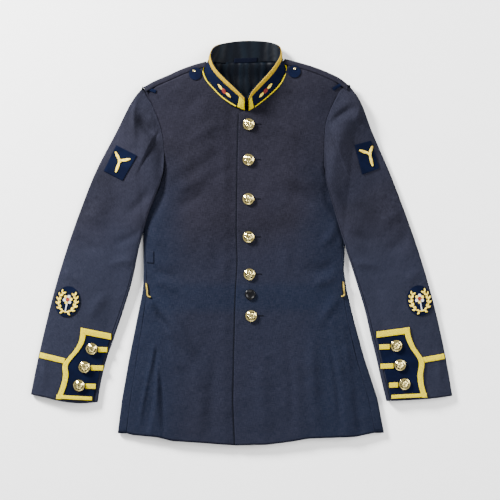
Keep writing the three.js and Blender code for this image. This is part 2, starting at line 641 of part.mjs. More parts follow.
function topSleeve(s) {
  const rows = SLEEVE_ROWS.map((v) => {
    const W = s.width(v);
    const r = s.rOut(v);
    const seam = Math.max(OUTER_SEAM, r + 6);
    const row = [s.underAt(seam / W, v), s.underAt(r / W, v)];
    for (const deg of [-60, -30])
      row.push(s.underAt(inFrom(r, deg) / W, v, r + r * Math.sin((deg * Math.PI) / 180)));
    for (const deg of [0, 30, 60, 90]) row.push(s.topAt(inFrom(r, deg) / W, v));
    const a = r;
    const b = W - innerSeam(v) - GAP;
    for (const k of [0.14, 0.3, 0.46, 0.62, 0.78, 0.91, 1]) row.push(s.topAt(mix(a, b, k) / W, v));
    return row;
  });
  return { rows, flip: s.sign > 0 };
}

function underSleeve(s) {
  const rows = SLEEVE_ROWS.map((v) => {
    const W = s.width(v);
    const r = s.rIn(v);
    const seam = Math.max(OUTER_SEAM, s.rOut(v) + 6) + GAP;
    const row = [];
    for (const k of [0, 0.2, 0.4, 0.56, 0.7, 0.82, 0.92, 1]) row.push(s.underAt(mix(seam, W - r, k) / W, v));
    for (const deg of [-60, -30])
      row.push(s.underAt(1 - inFrom(r, deg) / W, v, r + r * Math.sin((deg * Math.PI) / 180)));
    for (const deg of [0, 30, 60]) row.push(s.topAt(1 - inFrom(r, deg) / W, v));
    row.push(s.topAt(1 - innerSeam(v) / W, v));
    return row;
  });
  return { rows, flip: s.sign < 0 };
}

// Collar: a stand with its lining inside, from one front end round the back to the other
function collarPoint(t, h, out = 0) {
  const at = clamp(t, 0, 1) * (COLLAR.length - 1);
  const i = Math.min(COLLAR.length - 2, Math.floor(at));
  const k = at - i;
  const row = (n) => COLLAR[clamp(n, 0, COLLAR.length - 1)];
  const soft = (key) => {
    const a = row(i - 1)[key];
    const b = row(i)[key];
    const c = row(i + 1)[key];
    const d = row(i + 2)[key];
    return b + 0.5 * k * (c - a + k * (2 * a - 5 * b + 4 * c - d + k * (3 * (b - c) + d - a)));
  };
  const level = (axis) => mix(soft("base" + axis), soft("top" + axis), h);
  const p = V(level("X"), level("Y"), level("Z"));
  if (!out) return p;
  const e = 0.004;
  const along = collarPoint(Math.min(1, t + e), h).sub(collarPoint(Math.max(0, t - e), h));
  const up = V(soft("topX") - soft("baseX"), soft("topY") - soft("baseY"), soft("topZ") - soft("baseZ"));
  return p.add(along.cross(up).normalize().multiplyScalar(-out));
}

function collarBand(t0, t1, h0, h1, out, thick, nt, nh) {
  const rows = steps(nh).map((h) => steps(nt).map((t) => collarPoint(mix(t0, t1, t), mix(h0, h1, h))));
  return { rows, thick, flip: true, sink: -out };
}

// One solid from walls that share a place
function fused(walls, host = []) {
  let solid = null;
  for (const w of walls) {
    const part = solidOf(wall(w));
    solid = solid ? solid.add(part) : part;
  }
  return clearOf(meshOf(solid), host);
}

// Patches and strips laid on a surface. A surface gives the place over a plan point at a lift.
// The lift is that of the outer face, so the wall's own thickness lies below it.
function patchOn(surface, corners, lift, nu, nv, thick = TRIM) {
  const [a, b, c, d] = corners;
  const rows = steps(nv).map((v) => steps(nu).map((u) => {
    const x = mix(mix(a.x, b.x, u), mix(d.x, c.x, u), v);
    const y = mix(mix(a.y, b.y, u), mix(d.y, c.y, u), v);
    return surface(x, y, lift);
  }));
  return facingUp({ rows, thick });
}

function facingUp(cut) {
  const n = gridNormals(cut.rows);
  const mid = n[Math.floor(n.length / 2)][Math.floor(n[0].length / 2)];
  cut.flip = mid.z < 0;
  return cut;
}

function ovalOn(surface, x, y, rx, ry, turnBy, lift, rings, thick = TRIM) {
  const rows = steps(rings).map((v) => steps(6).map((u) => {
    const s = -1 + 2 * v;
    const across = (-1 + 2 * u) * Math.sqrt(Math.max(0.04, 1 - s * s));
    const px = across * rx;
    const py = s * ry;
    const c = Math.cos(turnBy);
    const k = Math.sin(turnBy);
    return surface(x + px * c - py * k, y + px * k + py * c, lift);
  }));
  return facingUp({ rows, thick });
}

function stripOn(surface, path, width, lift, n, thick = TRIM) {
  const line = lineOf(path);
  const rows = steps(n).map((v) => {
    const p = line(v);
    const a = line(Math.max(0, v - 0.02));
    const b = line(Math.min(1, v + 0.02));
    const len = Math.hypot(b.x - a.x, b.y - a.y);
    const nx = -(b.y - a.y) / len;
    const ny = (b.x - a.x) / len;
    const half = (typeof width === "function" ? width(v) : width) / 2;
    return [-1, 1].map((k) => surface(p.x + nx * half * k, p.y + ny * half * k, lift));
  });
  return facingUp({ rows, thick });
}

// Two edges given row by row, with a wall between them
function betweenOn(surface, edgeA, edgeB, lift, n, m, thick = TRIM) {
  const a = lineOf(edgeA);
  const b = lineOf(edgeB);
  const spot = (u, v, axis) => mix(a(v)[axis], b(v)[axis], u);
  const rows = steps(n).map((v) => steps(m).map((u) => surface(spot(u, v, "x"), spot(u, v, "y"), lift)));
  return facingUp({ rows, thick });
}

// A round rod along a path
function rod(points, radius, sides, cuts) {
  const shape = new THREE.Shape();
  for (let i = 0; i < sides; i++) {
    const a = (2 * Math.PI * i) / sides;
    const x = radius * Math.cos(a);
    const y = radius * Math.sin(a);
    if (i) shape.lineTo(x, y);
    else shape.moveTo(x, y);
  }
  shape.closePath();
  const path = new THREE.CatmullRomCurve3(points, false, "centripetal");
  return new THREE.ExtrudeGeometry(shape, { steps: cuts, bevelEnabled: false, extrudePath: path });
}

// A turned button standing on a surface: profile from the axis at its back to the axis at its front
function button(surface, x, y, radius, profile, lift, segments, tilt = [0, 0]) {
  let z = -1e9;
  for (const a of steps(8))
    for (const k of [0, 0.5, 0.9]) {
      const turn = a * 2 * Math.PI;
      const q = surface(x + radius * k * Math.cos(turn), y + radius * k * Math.sin(turn), lift);
      z = Math.max(z, q.z);
    }
  const outline = profile.map((p) => new THREE.Vector2(p.r * radius, p.h * radius));
  const g = new THREE.LatheGeometry(outline, segments);
  g.rotateX(Math.PI / 2);
  g.rotateX(tilt[0]);
  g.rotateY(tilt[1]);
  g.translate(x, y, z + GAP + Math.sin(Math.hypot(tilt[0], tilt[1])) * radius * 0.62);
  return g;
}

// Profiles of the buttons, as shares of their radius
const DOME = [
  { r: 0, h: 0 }, { r: 0.86, h: 0 }, { r: 1, h: 0.14 }, { r: 0.98, h: 0.24 }, { r: 0.86, h: 0.3 },
  { r: 0.55, h: 0.48 }, { r: 0, h: 0.56 },
];
const DISH = [
  { r: 0, h: 0 }, { r: 0.8, h: 0 }, { r: 1, h: 0.12 }, { r: 0.96, h: 0.32 }, { r: 0.76, h: 0.36 },
  { r: 0.62, h: 0.2 }, { r: 0, h: 0.2 },
];
const BUTTONS = [
  { x: 14.4, y: 231.5, tiltX: 0.1, tiltY: -0.08 }, { x: 13.5, y: 162.2, tiltX: 0, tiltY: 0 },
  { x: 13.3, y: 85.8, tiltX: 0, tiltY: 0 }, { x: 13.7, y: 11.7, tiltX: 0, tiltY: 0 },
  { x: 15.4, y: -61, tiltX: 0, tiltY: 0 }, { x: 18.9, y: -142.4, tiltX: 0, tiltY: 0 },
];

// Slashed cuff panel: one row per level, its curved edge and its edge at the sleeve seam
const CUFF_PANEL = {
  left: [
    { x: -314.3, y: -165, seamX: -254.5, seamY: -177.1 },
    { x: -317.9, y: -191.9, seamX: -258.8, seamY: -191.1 },
    { x: -327.4, y: -209.4, seamX: -264.6, seamY: -208.7 },
    { x: -350, y: -238.9, seamX: -273.8, seamY: -238.9 },
    { x: -349.3, y: -258.2, seamX: -279.2, seamY: -258.2 },
    { x: -353.5, y: -279, seamX: -284.5, seamY: -279.8 },
    { x: -363.4, y: -305, seamX: -291.8, seamY: -309.5 },
  ],
  right: [
    { x: 329, y: -164, seamX: 263.3, seamY: -172.8 },
    { x: 330.7, y: -179.8, seamX: 266, seamY: -186 },
    { x: 339.3, y: -202.4, seamX: 269.5, seamY: -202.4 },
    { x: 357.4, y: -232, seamX: 277, seamY: -235.6 },
    { x: 355.1, y: -258.2, seamX: 282, seamY: -258.2 },
    { x: 356.9, y: -277.3, seamX: 286.8, seamY: -280.8 },
    { x: 363.7, y: -302, seamX: 292, seamY: -305.5 },
  ],
};
const CUFF_BUTTONS = {
  left: [{ x: -292.9, y: -206.7, end: -263.1 }, { x: -307.1, y: -242.5, end: -270.9 },
    { x: -317.5, y: -278.3, end: -285.7 }],
  right: [{ x: 302.6, y: -200.9, end: 269.7 }, { x: 309.7, y: -238.5, end: 272 },
    { x: 318.8, y: -275.6, end: 288.8 }],
};
const CUFF_BAND = {
  left: [{ x: -404, y: -218.5 }, { x: -376, y: -224 }, { x: -347, y: -231 }],
  right: [{ x: 405, y: -221.5 }, { x: 380, y: -225 }, { x: 359.5, y: -228.5 }],
};
const RANK = {
  left: {
    corners: [
      { x: -245.5, y: 191.7 },
      { x: -204, y: 170.4 },
      { x: -232.8, y: 121.9 },
      { x: -270.1, y: 141.2 },
    ],
    hub: { x: -237.9, y: 160.7 },
    tips: [
      { x: -246.9, y: 178.6 },
      { x: -217, y: 163.6 },
      { x: -246.1, y: 138.3 },
    ],
  },
  right: {
    corners: [
      { x: 221.1, y: 191.3 },
      { x: 253.7, y: 200.7 },
      { x: 270.1, y: 146.8 },
      { x: 236.1, y: 133.8 },
    ],
    hub: { x: 250.6, y: 174.9 },
    tips: [
      { x: 230.1, y: 180.8 },
      { x: 256.2, y: 189.7 },
      { x: 256.6, y: 150.2 },
    ],
  },
};
const CUFF_BADGE = {
  left: { x: -341.1, y: -114.5, turnBy: -0.2 },
  right: { x: 349.4, y: -112.7, turnBy: 0.2 },
};
const EYELET = {
  left: { x: -90, y: 330.5, ringX: -92.8, ringY: 336 },
  right: { x: 103, y: 334.8, ringX: 103.7, ringY: 340 },
};
const STRAP_LOOP = {
  left: [{ x: -184.5, y: 301.5 }, { x: -176, y: 299 }, { x: -167.5, y: 295.5 }],
  right: [{ x: 178.5, y: 300 }, { x: 188, y: 306 }, { x: 197.5, y: 311.5 }],
};

const group = new THREE.Group();
function piece(name, geometry, colour, roughness = 0.9, metalness = 0) {
  const material = new THREE.MeshStandardMaterial({ color: colour, roughness, metalness });
  const mesh = new THREE.Mesh(geometry, material);
  mesh.name = name;
  group.add(mesh);
}
const WOOL = 0x3a4156;
const NAVY = 0x0a1430;
const SATIN = 0x0d1f30;
const GOLD = 0xcfa945;
const BRASS = 0xd9cf9c;
const BLACK = 0x101014;
const FRONT_OF = { left: "right", right: "left" };

const collarStand = collarBand(0, 1, 0, 1, 0, COLLAR_T, 32, 2);
const collarLining = collarBand(0, 1, 0.02, 0.985, -COLLAR_T - GAP, 1.1, 32, 2);
const cordWay = collarBand(0.01, 0.99, -0.03, 0.12, 3.4, 3.2, 32, 1);
const back = backPanel();
const fronts = { left: frontPanel("left"), right: frontPanel("right") };
piece("back", panel(back, [collarStand, collarLining]), WOOL);
for (const side of ["left", "right"])
  piece("front_" + FRONT_OF[side], panel(fronts[side], [back, collarStand, collarLining, cordWay]), WOOL);
for (const side of ["left", "right"]) {
  const under = underSleeve(sleeves[side]);
  const top = topSleeve(sleeves[side]);
  piece("under_sleeve_" + FRONT_OF[side], panel(under, [back, fronts[side]]), WOOL);
  piece("top_sleeve_" + FRONT_OF[side], panel(top, [back, fronts[side], under]), WOOL);
  sleeves[side].topCut = top;
  sleeves[side].underCut = under;
}

// Collar and what is on it
piece("collar_stand", panel(collarStand), NAVY);
piece("collar_lining", panel(collarLining), SATIN, 0.5);
const braidOut = GAP + 1.3;
piece("collar_braid", fused([
  collarBand(0, 1, 0.8, 1, braidOut, 1.1, 32, 1),
  collarBand(0, 1 / 32, 0.02, 0.9, braidOut + 0.12, 1.1, 1, 2),
  collarBand(31 / 32, 1, 0.02, 0.9, braidOut + 0.12, 1.1, 1, 2),
]), GOLD, 0.5, 0.4);
for (const [name, from, to] of [["right", 0.048, 0.37], ["left", 0.952, 0.63]]) {
  const path = steps(16).map((t) => collarPoint(mix(from, to, t), 0.045, 1.8));
  piece("collar_cord_" + name, rod(path, 1.2, 6, 20), GOLD, 0.5, 0.4);
}
const leafPair = (v) => {
  if (Math.abs(v - 0.5) < 0.13) return 6.4;
  return 1.1 + 5 * Math.sin(Math.PI * clamp((v < 0.5 ? v : 1 - v) / 0.37, 0, 1));
};
for (const [name, at, dir] of [["right", 0.128, 1], ["left", 0.868, -1]]) {
  const onCollar = (x, y, lift) => collarPoint(at + x / 400, 0.4 + y / 40, lift);
  const path = [{ x: -17 * dir, y: -1.5 }, { x: 0, y: 0 }, { x: 17 * dir, y: 1.5 }];
  const leaves = stripOn(onCollar, path, leafPair, GAP + 1.3, 10, 1.2);
  piece("collar_badge_" + name, panel(leaves), GOLD, 0.6, 0.2);
}
const inside = -COLLAR_T - GAP - 1.1 - GAP;
piece("hanger_loop", panel(collarBand(0.4715, 0.535, 0.04, 0.24, inside, 1.1, 4, 1)), NAVY);
const backLining = facingUp({ rows: steps(5).map((v) => steps(6).map((u) =>
  V(mix(-60, 72, u), mix(190, 338, v), CLOTH + GAP + 1.15))), thick: 1.1 });
piece("back_lining", panel(backLining), SATIN, 0.5);

// Pieces on the fronts
const hostOf = (side) => [fronts[side], back];
const upon = (x, y, lift) => V(x, y, bodyTop(x, y) + lift);
for (const side of ["left", "right"]) {
  const e = EYELET[side];
  const name = FRONT_OF[side];
  const disc = ovalOn(upon, e.x, e.y, 12.4, 12.4, 0, 0.7 + TRIM, 5);
  piece("eyelet_patch_" + name, panel(disc, hostOf(side)), NAVY);
  piece("eyelet_" + name, button(upon, e.ringX, e.ringY, 2.9, DISH, 0.7 + TRIM + 0.3, 8), BRASS, 0.35, 0.9);
  piece("strap_loop_" + name, panel(stripOn(upon, STRAP_LOOP[side], 6.2, 0.7 + TRIM, 4),
    [...hostOf(side), sleeves[side].topCut]), NAVY);
}
BUTTONS.forEach((b, i) => piece("front_button_" + (i + 1),
  button(upon, b.x, b.y, BUTTON_R, DOME, 0.2, 14, [b.tiltX, b.tiltY]), BRASS, 0.3, 0.9));
piece("spare_button", button(upon, 17.2, -100.6, 10.4, DISH, -0.25, 14), BLACK, 0.4);
const tabAt = [
  { x: -187, y: -38 },
  { x: -172.6, y: -39 },
  { x: -172.6, y: -15.5 },
  { x: -187.5, y: -14.5 },
];
piece("waist_tab", panel(patchOn(upon, tabAt, 0.7 + TRIM, 3, 3), hostOf("left")), WOOL);
function hookPath(x0, y0, x1, y1, curl, lift = 2.6) {
  const highest = Math.max(bodyTop(x0, y0), bodyTop(x1, y1));
  return [
    upon(x0, y0, lift),
    V(mix(x0, x1, 0.5), mix(y0, y1, 0.5), highest + lift + 0.3),
    upon(x1, y1, lift + 0.1),
    upon(x1 + curl, y1 - 2.4, lift + 0.3),
  ];
}
piece("belt_hook_right", rod(hookPath(-187, -78.5, -183.4, -103.5, 5.6), 1.9, 6, 8), BRASS, 0.35, 0.9);
piece("belt_hook_left", rod(hookPath(199.6, -76, 201, -102.5, -5.6, 2), 1.9, 6, 8), BRASS, 0.35, 0.9);

// Pieces on the sleeves
for (const side of ["left", "right"]) {
  const s = sleeves[side];
  const name = FRONT_OF[side];
  const hosts = [s.topCut, s.underCut];
  const on = (x, y, lift) => s.over(x, y, lift);
  const rank = RANK[side];
  piece("rank_patch_" + name, panel(patchOn(on, rank.corners, 0.75 + TRIM, 4, 4), hosts), NAVY);
  const blade = (v) => 2.2 + 5.4 * Math.sin(Math.PI * clamp(v * 0.85 + 0.06, 0, 1));
  const high = 0.75 + TRIM + 0.5 + 1.1;
  const blades = rank.tips.map((tip) => {
    const half = { x: mix(rank.hub.x, tip.x, 0.5), y: mix(rank.hub.y, tip.y, 0.5) };
    return stripOn(on, [rank.hub, half, tip], blade, high, 4, 1.1);
  });
  const hub = ovalOn(on, rank.hub.x, rank.hub.y, 3.8, 3.8, 0, high + 0.03, 3, 1.1);
  piece("rank_device_" + name, fused([...blades, hub]), GOLD, 0.6, 0.2);

  const b = CUFF_BADGE[side];
  piece("cuff_badge_" + name, panel(ovalOn(on, b.x, b.y, 25, 30, b.turnBy, 0.75 + TRIM, 7), hosts), NAVY);
  const place = (x, y) => ({ x: b.x + x * Math.cos(b.turnBy) - y * Math.sin(b.turnBy),
    y: b.y + x * Math.sin(b.turnBy) + y * Math.cos(b.turnBy) });
  const bend = [[0, -21], [9, -18], [16, -8], [17, 4], [12, 15]];
  const branch = (k) => bend.map(([x, y]) => place(x * k, y));
  const leafy = (v) => 6.4 - 3.4 * v;
  piece("cuff_wreath_" + name, fused([
    stripOn(on, branch(1), leafy, high, 7, 1.1), stripOn(on, branch(-1), leafy, high, 7, 1.1),
    stripOn(on, [place(0, -22), place(0, -12), place(0, -3)], 2.6, high + 0.02, 3, 1.1),
    ovalOn(on, place(0, 3).x, place(0, 3).y, 7.6, 7.6, 0, high + 0.04, 3, 1.1),
  ]), GOLD, 0.6, 0.2);

  const rows = CUFF_PANEL[side];
  const outer = rows.map((r) => ({ x: r.x, y: r.y }));
  const seam = rows.map((r) => ({ x: r.seamX, y: r.seamY }));
  const cuffPanel = betweenOn(on, outer, seam, 0.75 + TRIM, 9, 6);
  piece("cuff_panel_" + name, panel(cuffPanel, hosts), NAVY);
  const upOn = 0.75 + TRIM + 0.45 + 1.1;
  const inward = (k) => rows.map((r, i) => {
    const w = BRAID_W / Math.hypot(r.seamX - r.x, r.seamY - r.y);
    return { x: mix(r.x, r.seamX, w * k), y: mix(r.y, r.seamY, w * k) - (i === 0 ? 0.5 : 0) };
  });
  const cut = [cuffPanel];
  const border = [betweenOn(on, inward(0.02), inward(1), upOn, 12, 1, 1.1)];
  const first = rows[0];
  const last = rows[rows.length - 1];
  const shares = [0.02, 0.35, 0.7, 0.985];
  const along = (r, dy) => shares.map((k) => ({ x: mix(r.x, r.seamX, k), y: mix(r.y, r.seamY, k) + dy }));
  border.push(betweenOn(on, along(first, -0.6), along(first, -BRAID_W - 2), upOn + 0.03, 6, 1, 1.1));
  border.push(betweenOn(on, along(last, 1), along(last, 8.4), upOn + 0.03, 6, 1, 1.1));
  piece("cuff_border_" + name, fused(border, cut), GOLD, 0.5, 0.4);
  piece("cuff_band_" + name, panel(stripOn(on, CUFF_BAND[side], BRAID_W, 0.75 + 1.1, 6, 1.1),
    [...hosts, cuffPanel]), GOLD, 0.5, 0.4);
  CUFF_BUTTONS[side].forEach((c, i) => {
    const k = s.sign;
    const start = { x: c.x + k * (CUFF_BUTTON_R + 1), y: c.y - 2 };
    const half = { x: mix(start.x, c.end, 0.5), y: c.y - 2.2 };
    const loop = stripOn(on, [start, half, { x: c.end, y: c.y - 2.6 }], 10, upOn, 3, 1.1);
    piece("cuff_loop_" + name + "_" + (i + 1), panel(loop, cut), GOLD, 0.5, 0.4);
    const knob = button(on, c.x, c.y, CUFF_BUTTON_R, DOME, 0.75 + TRIM + 0.3, 12);
    piece("cuff_button_" + name + "_" + (i + 1), knob, BRASS, 0.3, 0.9);
  });
}

export default group;
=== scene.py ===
import math

import bmesh
import bpy
from mathutils import Matrix, Vector


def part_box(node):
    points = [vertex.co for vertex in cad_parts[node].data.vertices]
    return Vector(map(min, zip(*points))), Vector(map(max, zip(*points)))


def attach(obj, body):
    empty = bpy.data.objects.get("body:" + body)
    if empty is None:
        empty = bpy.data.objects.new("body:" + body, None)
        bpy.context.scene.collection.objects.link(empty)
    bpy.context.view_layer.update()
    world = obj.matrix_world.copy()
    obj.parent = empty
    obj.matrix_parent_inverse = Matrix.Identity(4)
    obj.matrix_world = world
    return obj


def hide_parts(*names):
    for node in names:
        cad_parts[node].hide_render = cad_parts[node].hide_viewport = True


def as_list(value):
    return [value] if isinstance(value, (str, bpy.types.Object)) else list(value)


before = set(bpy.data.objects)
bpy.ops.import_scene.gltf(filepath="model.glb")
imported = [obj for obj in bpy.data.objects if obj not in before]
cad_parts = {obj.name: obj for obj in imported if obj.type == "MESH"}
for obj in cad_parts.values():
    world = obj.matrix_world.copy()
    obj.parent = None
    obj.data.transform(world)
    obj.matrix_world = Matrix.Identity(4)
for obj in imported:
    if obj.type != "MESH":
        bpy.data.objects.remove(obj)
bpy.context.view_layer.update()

# Band tunic laid flat on its back. Sizes are in millimetres, as in the part's source, and
# a mesh gets them in metres.
MM = 0.001

CLOTH = 1.7
TRIM = 1.3
LINING_T = 1.1
STITCHES = 1.1
ON_BODY = 0.7 + TRIM
ON_SLEEVE = 0.75 + TRIM
GAP = 0.35
LAP = 44
LAP_STEP = 2.6
SIDE_FOLD = 4.6
SHOULDER_FOLD = 10
SLEEVE_FOLD = 4.4
BUTTON_R = 11.4
CUFF_BUTTON_R = 11.4
BRAID_W = 10.7
COLLAR_T = 1.5
COLLAR_ROUND = 400
TRIM_OUT = GAP + 1.3
UNDERARM = 99.5
OUTER_SEAM = 18
LIES_ON = 0.55
SOFT_EDGE = 0.3
CORD_R = 1.2
HOOK_R = 1.6
SPARE_R = 10.4
EYELET_R = 2.3
EYELET_PATCH_R = 12.4
STRAP_W = 6.2
LEAF = 7.4
LEAF_SPREAD = 0.62
LEAF_BOW = 0.7

# How far in from its edge the cloth takes to rise: on the body, at the shoulder and on a sleeve
BODY_SPREAD = 42
SHOULDER_SPREAD = 30
SLEEVE_SPREAD = 28

# Shares of a front's outer edge where the scoop and the armhole start, and of the back's height where its
# fold over the shoulder starts
SCOOP_AT = 0.62
ARM_AT = 0.74
OVER_AT = 0.85


def table(keys, rows):
    names = keys.split()
    return [dict(zip(names, row)) for row in rows]


# Body: one row per level. seam is how far the side seam lies over the fold, fold the fold's share of
# its full radius, rise how much the front stands above the fold
BODY = table("level y left right seam fold rise", [
    ("hem", -372, -243.5, 280, 20, 1, 5),
    ("skirt", -306, -235, 267.2, 20, 1, 6),
    ("seat", -228, -221.3, 241.8, 18, 1, 7),
    ("hip", -150, -205.7, 220.4, 15, 1, 8),
    ("low waist", -92, -194, 206.7, 11, 1, 9),
    ("waist", -53, -192.5, 200.9, 8, 1, 9),
    ("ribs", -4, -193.1, 202.8, 6, 1, 11),
    ("chest", 50, -195.4, 206.8, 5, 0.8, 14),
    ("underarm", 99.5, -197.9, 211.6, 2.8, 0.58, 16),
    ("armhole", 200, -206, 222, 2, 0.58, 18),
    ("shoulder", 320, -216, 233, 2, 0.58, 18),
])
SEAM_LEVELS = [-306, -228, -170, -120, -75, -30, 20, 62, 92]

# Lines as x, y, sleeves from the head down as x, y of the outer and of the inner crease
HEM = [
    (-243, -368), (-213.5, -376.4), (-166.7, -380.3), (-135.5, -388), (-73.1, -392), (-14.6, -396.6),
    (51.7, -395), (98.5, -389), (129.7, -383.2), (223.3, -379.9), (279, -368.6),
]
FRONT_EDGE = [
    (-12.5, -396), (-16.2, -310), (-13.3, -169.7), (-11.3, -99.5), (-7.6, -37), (-9.4, 25.4), (-7.4, 181),
    (-5.2, 254),
]
ARMHOLE = {
    "left": [
        (-192.1, 306.2), (-186.2, 289.4), (-175.1, 272.4), (-165.4, 249.6), (-157.4, 226.8),
        (-152.5, 200.9), (-151.1, 173.6), (-152.1, 140.4),
    ],
    "right": [
        (209.6, 310), (195.6, 301.7), (185.6, 286), (172.6, 259.4), (164.8, 236.5), (161.6, 210.6),
        (161.2, 174.9), (162, 142.4),
    ],
}
SCOOP = {
    "left": [
        (-152.1, 140.4), (-158.9, 119), (-174.5, 106), (-197.9, 99.5),
    ],
    "right": [
        (162, 142.4), (170, 121), (186, 106.5), (211.6, 99.5),
    ],
}
BACK_ARMHOLE = {
    "left": [
        (-192.1, 306.2), (-184, 226), (-187, 160), (-197.9, 99.5),
    ],
    "right": [
        (209.6, 310), (198, 226), (200, 160), (211.6, 99.5),
    ],
}
SHOULDER = {
    "left": [
        (-192.1, 306.2), (-170.6, 317.9), (-143.3, 329.6), (-119.9, 340.3), (-95, 349.4), (-69.2, 356.4),
    ],
    "right": [
        (209.6, 310), (194, 322.6), (166.7, 336), (137.5, 347.1), (110, 355), (84.8, 361.7),
    ],
}
SLEEVE = {
    "left": [
        (-192.1, 306.2, -152.1, 140.4), (-212.6, 280.8, -158.9, 117), (-244.7, 220.4, -181.7, 58.5),
        (-285.7, 142.4, -200.9, -9.8), (-316.9, 64.4, -214.5, -72.2), (-344.2, -13.7, -232, -131),
        (-367.6, -91.7, -251.6, -189.2), (-387.1, -169.7, -265.2, -228.2), (-404.6, -247.7, -275, -267.2),
        (-414.4, -297.4, -282.8, -312.5),
    ],
    "right": [
        (209.6, 310, 162, 142.4), (231.1, 280.8, 166.5, 116), (255.5, 220.4, 184, 55),
        (289.6, 142.4, 202.8, -5.9), (319.8, 64.4, 224.3, -72.2), (347.1, -13.7, 242, -131),
        (370.5, -91.7, 255.5, -189.2), (390, -169.7, 265.2, -228.2), (405.6, -247.7, 274, -267.2),
        (414.4, -300, 284, -309.5),
    ],
}
CUFF_EDGE = {
    "left": [
        (-414.4, -297.4), (-385, -303), (-353.9, -310), (-318, -314), (-282.8, -312.5),
    ],
    "right": [
        (414.4, -300), (379.3, -304.2), (348.1, -306.6), (316.9, -308.4), (284, -309.5),
    ],
}

# Collar from the right end round to the left: x, y, z at its base and at its top
COLLAR = [
    (6.4, 259, 27, 6.8, 279.5, 53), (-15.4, 269, 26.5, -7, 294, 51), (-36.3, 282.6, 25.5, -26.5, 313, 47),
    (-53.8, 300, 24, -43.8, 331, 42), (-68.5, 317, 22, -55.2, 348, 35), (-74.2, 334, 19, -59.8, 368, 26),
    (-66, 348, 13, -51, 385.5, 15), (-38, 351, 6, -29, 393.6, 6.5), (5, 352, 4, 8, 397.6, 4.5),
    (50, 354, 6, 50, 395.4, 6.5), (78, 351, 13, 73, 386, 15), (86.8, 336, 19, 75.5, 367, 26),
    (80.5, 317, 22, 66.5, 349, 35), (69, 301, 24, 53.5, 331, 42), (49, 283, 25.5, 36, 311, 47),
    (29.5, 268, 26.5, 20.5, 293, 51), (13.6, 258, 27, 13.2, 279, 53),
]

# Buttons: x, y and lean; a cuff panel: x, y at its outer edge and at the seam
BUTTONS = [
    (14.4, 231.5, 0.1, -0.08), (13.5, 162.2, 0, 0), (13.3, 85.8, 0, 0), (13.7, 11.7, 0, 0),
    (15.4, -61, 0, 0), (18.9, -142.4, 0, 0),
]
CUFF_PANEL = {
    "left": [
        (-314.3, -165, -254.5, -177.1), (-317.9, -191.9, -258.8, -191.1),
        (-327.4, -209.4, -264.6, -208.7), (-350, -238.9, -273.8, -238.9),
        (-349.3, -258.2, -279.2, -258.2), (-353.5, -279, -284.5, -279.8), (-363.4, -305, -291.8, -309.5),
    ],
    "right": [
        (329, -164, 263.3, -172.8), (330.7, -179.8, 266, -186), (339.3, -202.4, 269.5, -202.4),
        (357.4, -232, 277, -235.6), (355.1, -258.2, 282, -258.2), (356.9, -277.3, 286.8, -280.8),
        (363.7, -302, 292, -305.5),
    ],
}

# Cuff buttons: x, y and where the loop ends
CUFF_BUTTONS = {
    "left": [
        (-292.9, -206.7, -263.1), (-307.1, -242.5, -270.9), (-317.5, -278.3, -285.7),
    ],
    "right": [
        (302.6, -200.9, 269.7), (309.7, -238.5, 272), (318.8, -275.6, 288.8),
    ],
}
CUFF_BAND = {
    "left": [(-396.5, -219.5), (-376, -224), (-346.5, -231)],
    "right": [(398, -222), (380, -225), (353, -229.5)],
}
STRAP_LOOP = {
    "left": [(-184.5, 301.5), (-176, 299), (-167.5, 295.5)],
    "right": [(178.5, 300), (188, 306), (197.5, 311.5)],
}
RANK = {
    "left": dict(
        corners=[(-245.5, 191.7), (-204, 170.4), (-232.8, 121.9), (-270.1, 141.2)],
        hub=(-237.9, 160.7), tips=[(-246.9, 178.6), (-217, 163.6), (-246.1, 138.3)],
    ),
    "right": dict(
        corners=[(221.1, 191.3), (253.7, 200.7), (270.1, 146.8), (236.1, 133.8)],
        hub=(250.6, 174.9), tips=[(230.1, 180.8), (256.2, 189.7), (256.6, 150.2)],
    ),
}
CUFF_BADGE = {"left": (-341.1, -114.5, -0.2), "right": (349.4, -112.7, 0.2)}
EYELET = {"left": (-90, 330.5), "right": (103, 334.8)}

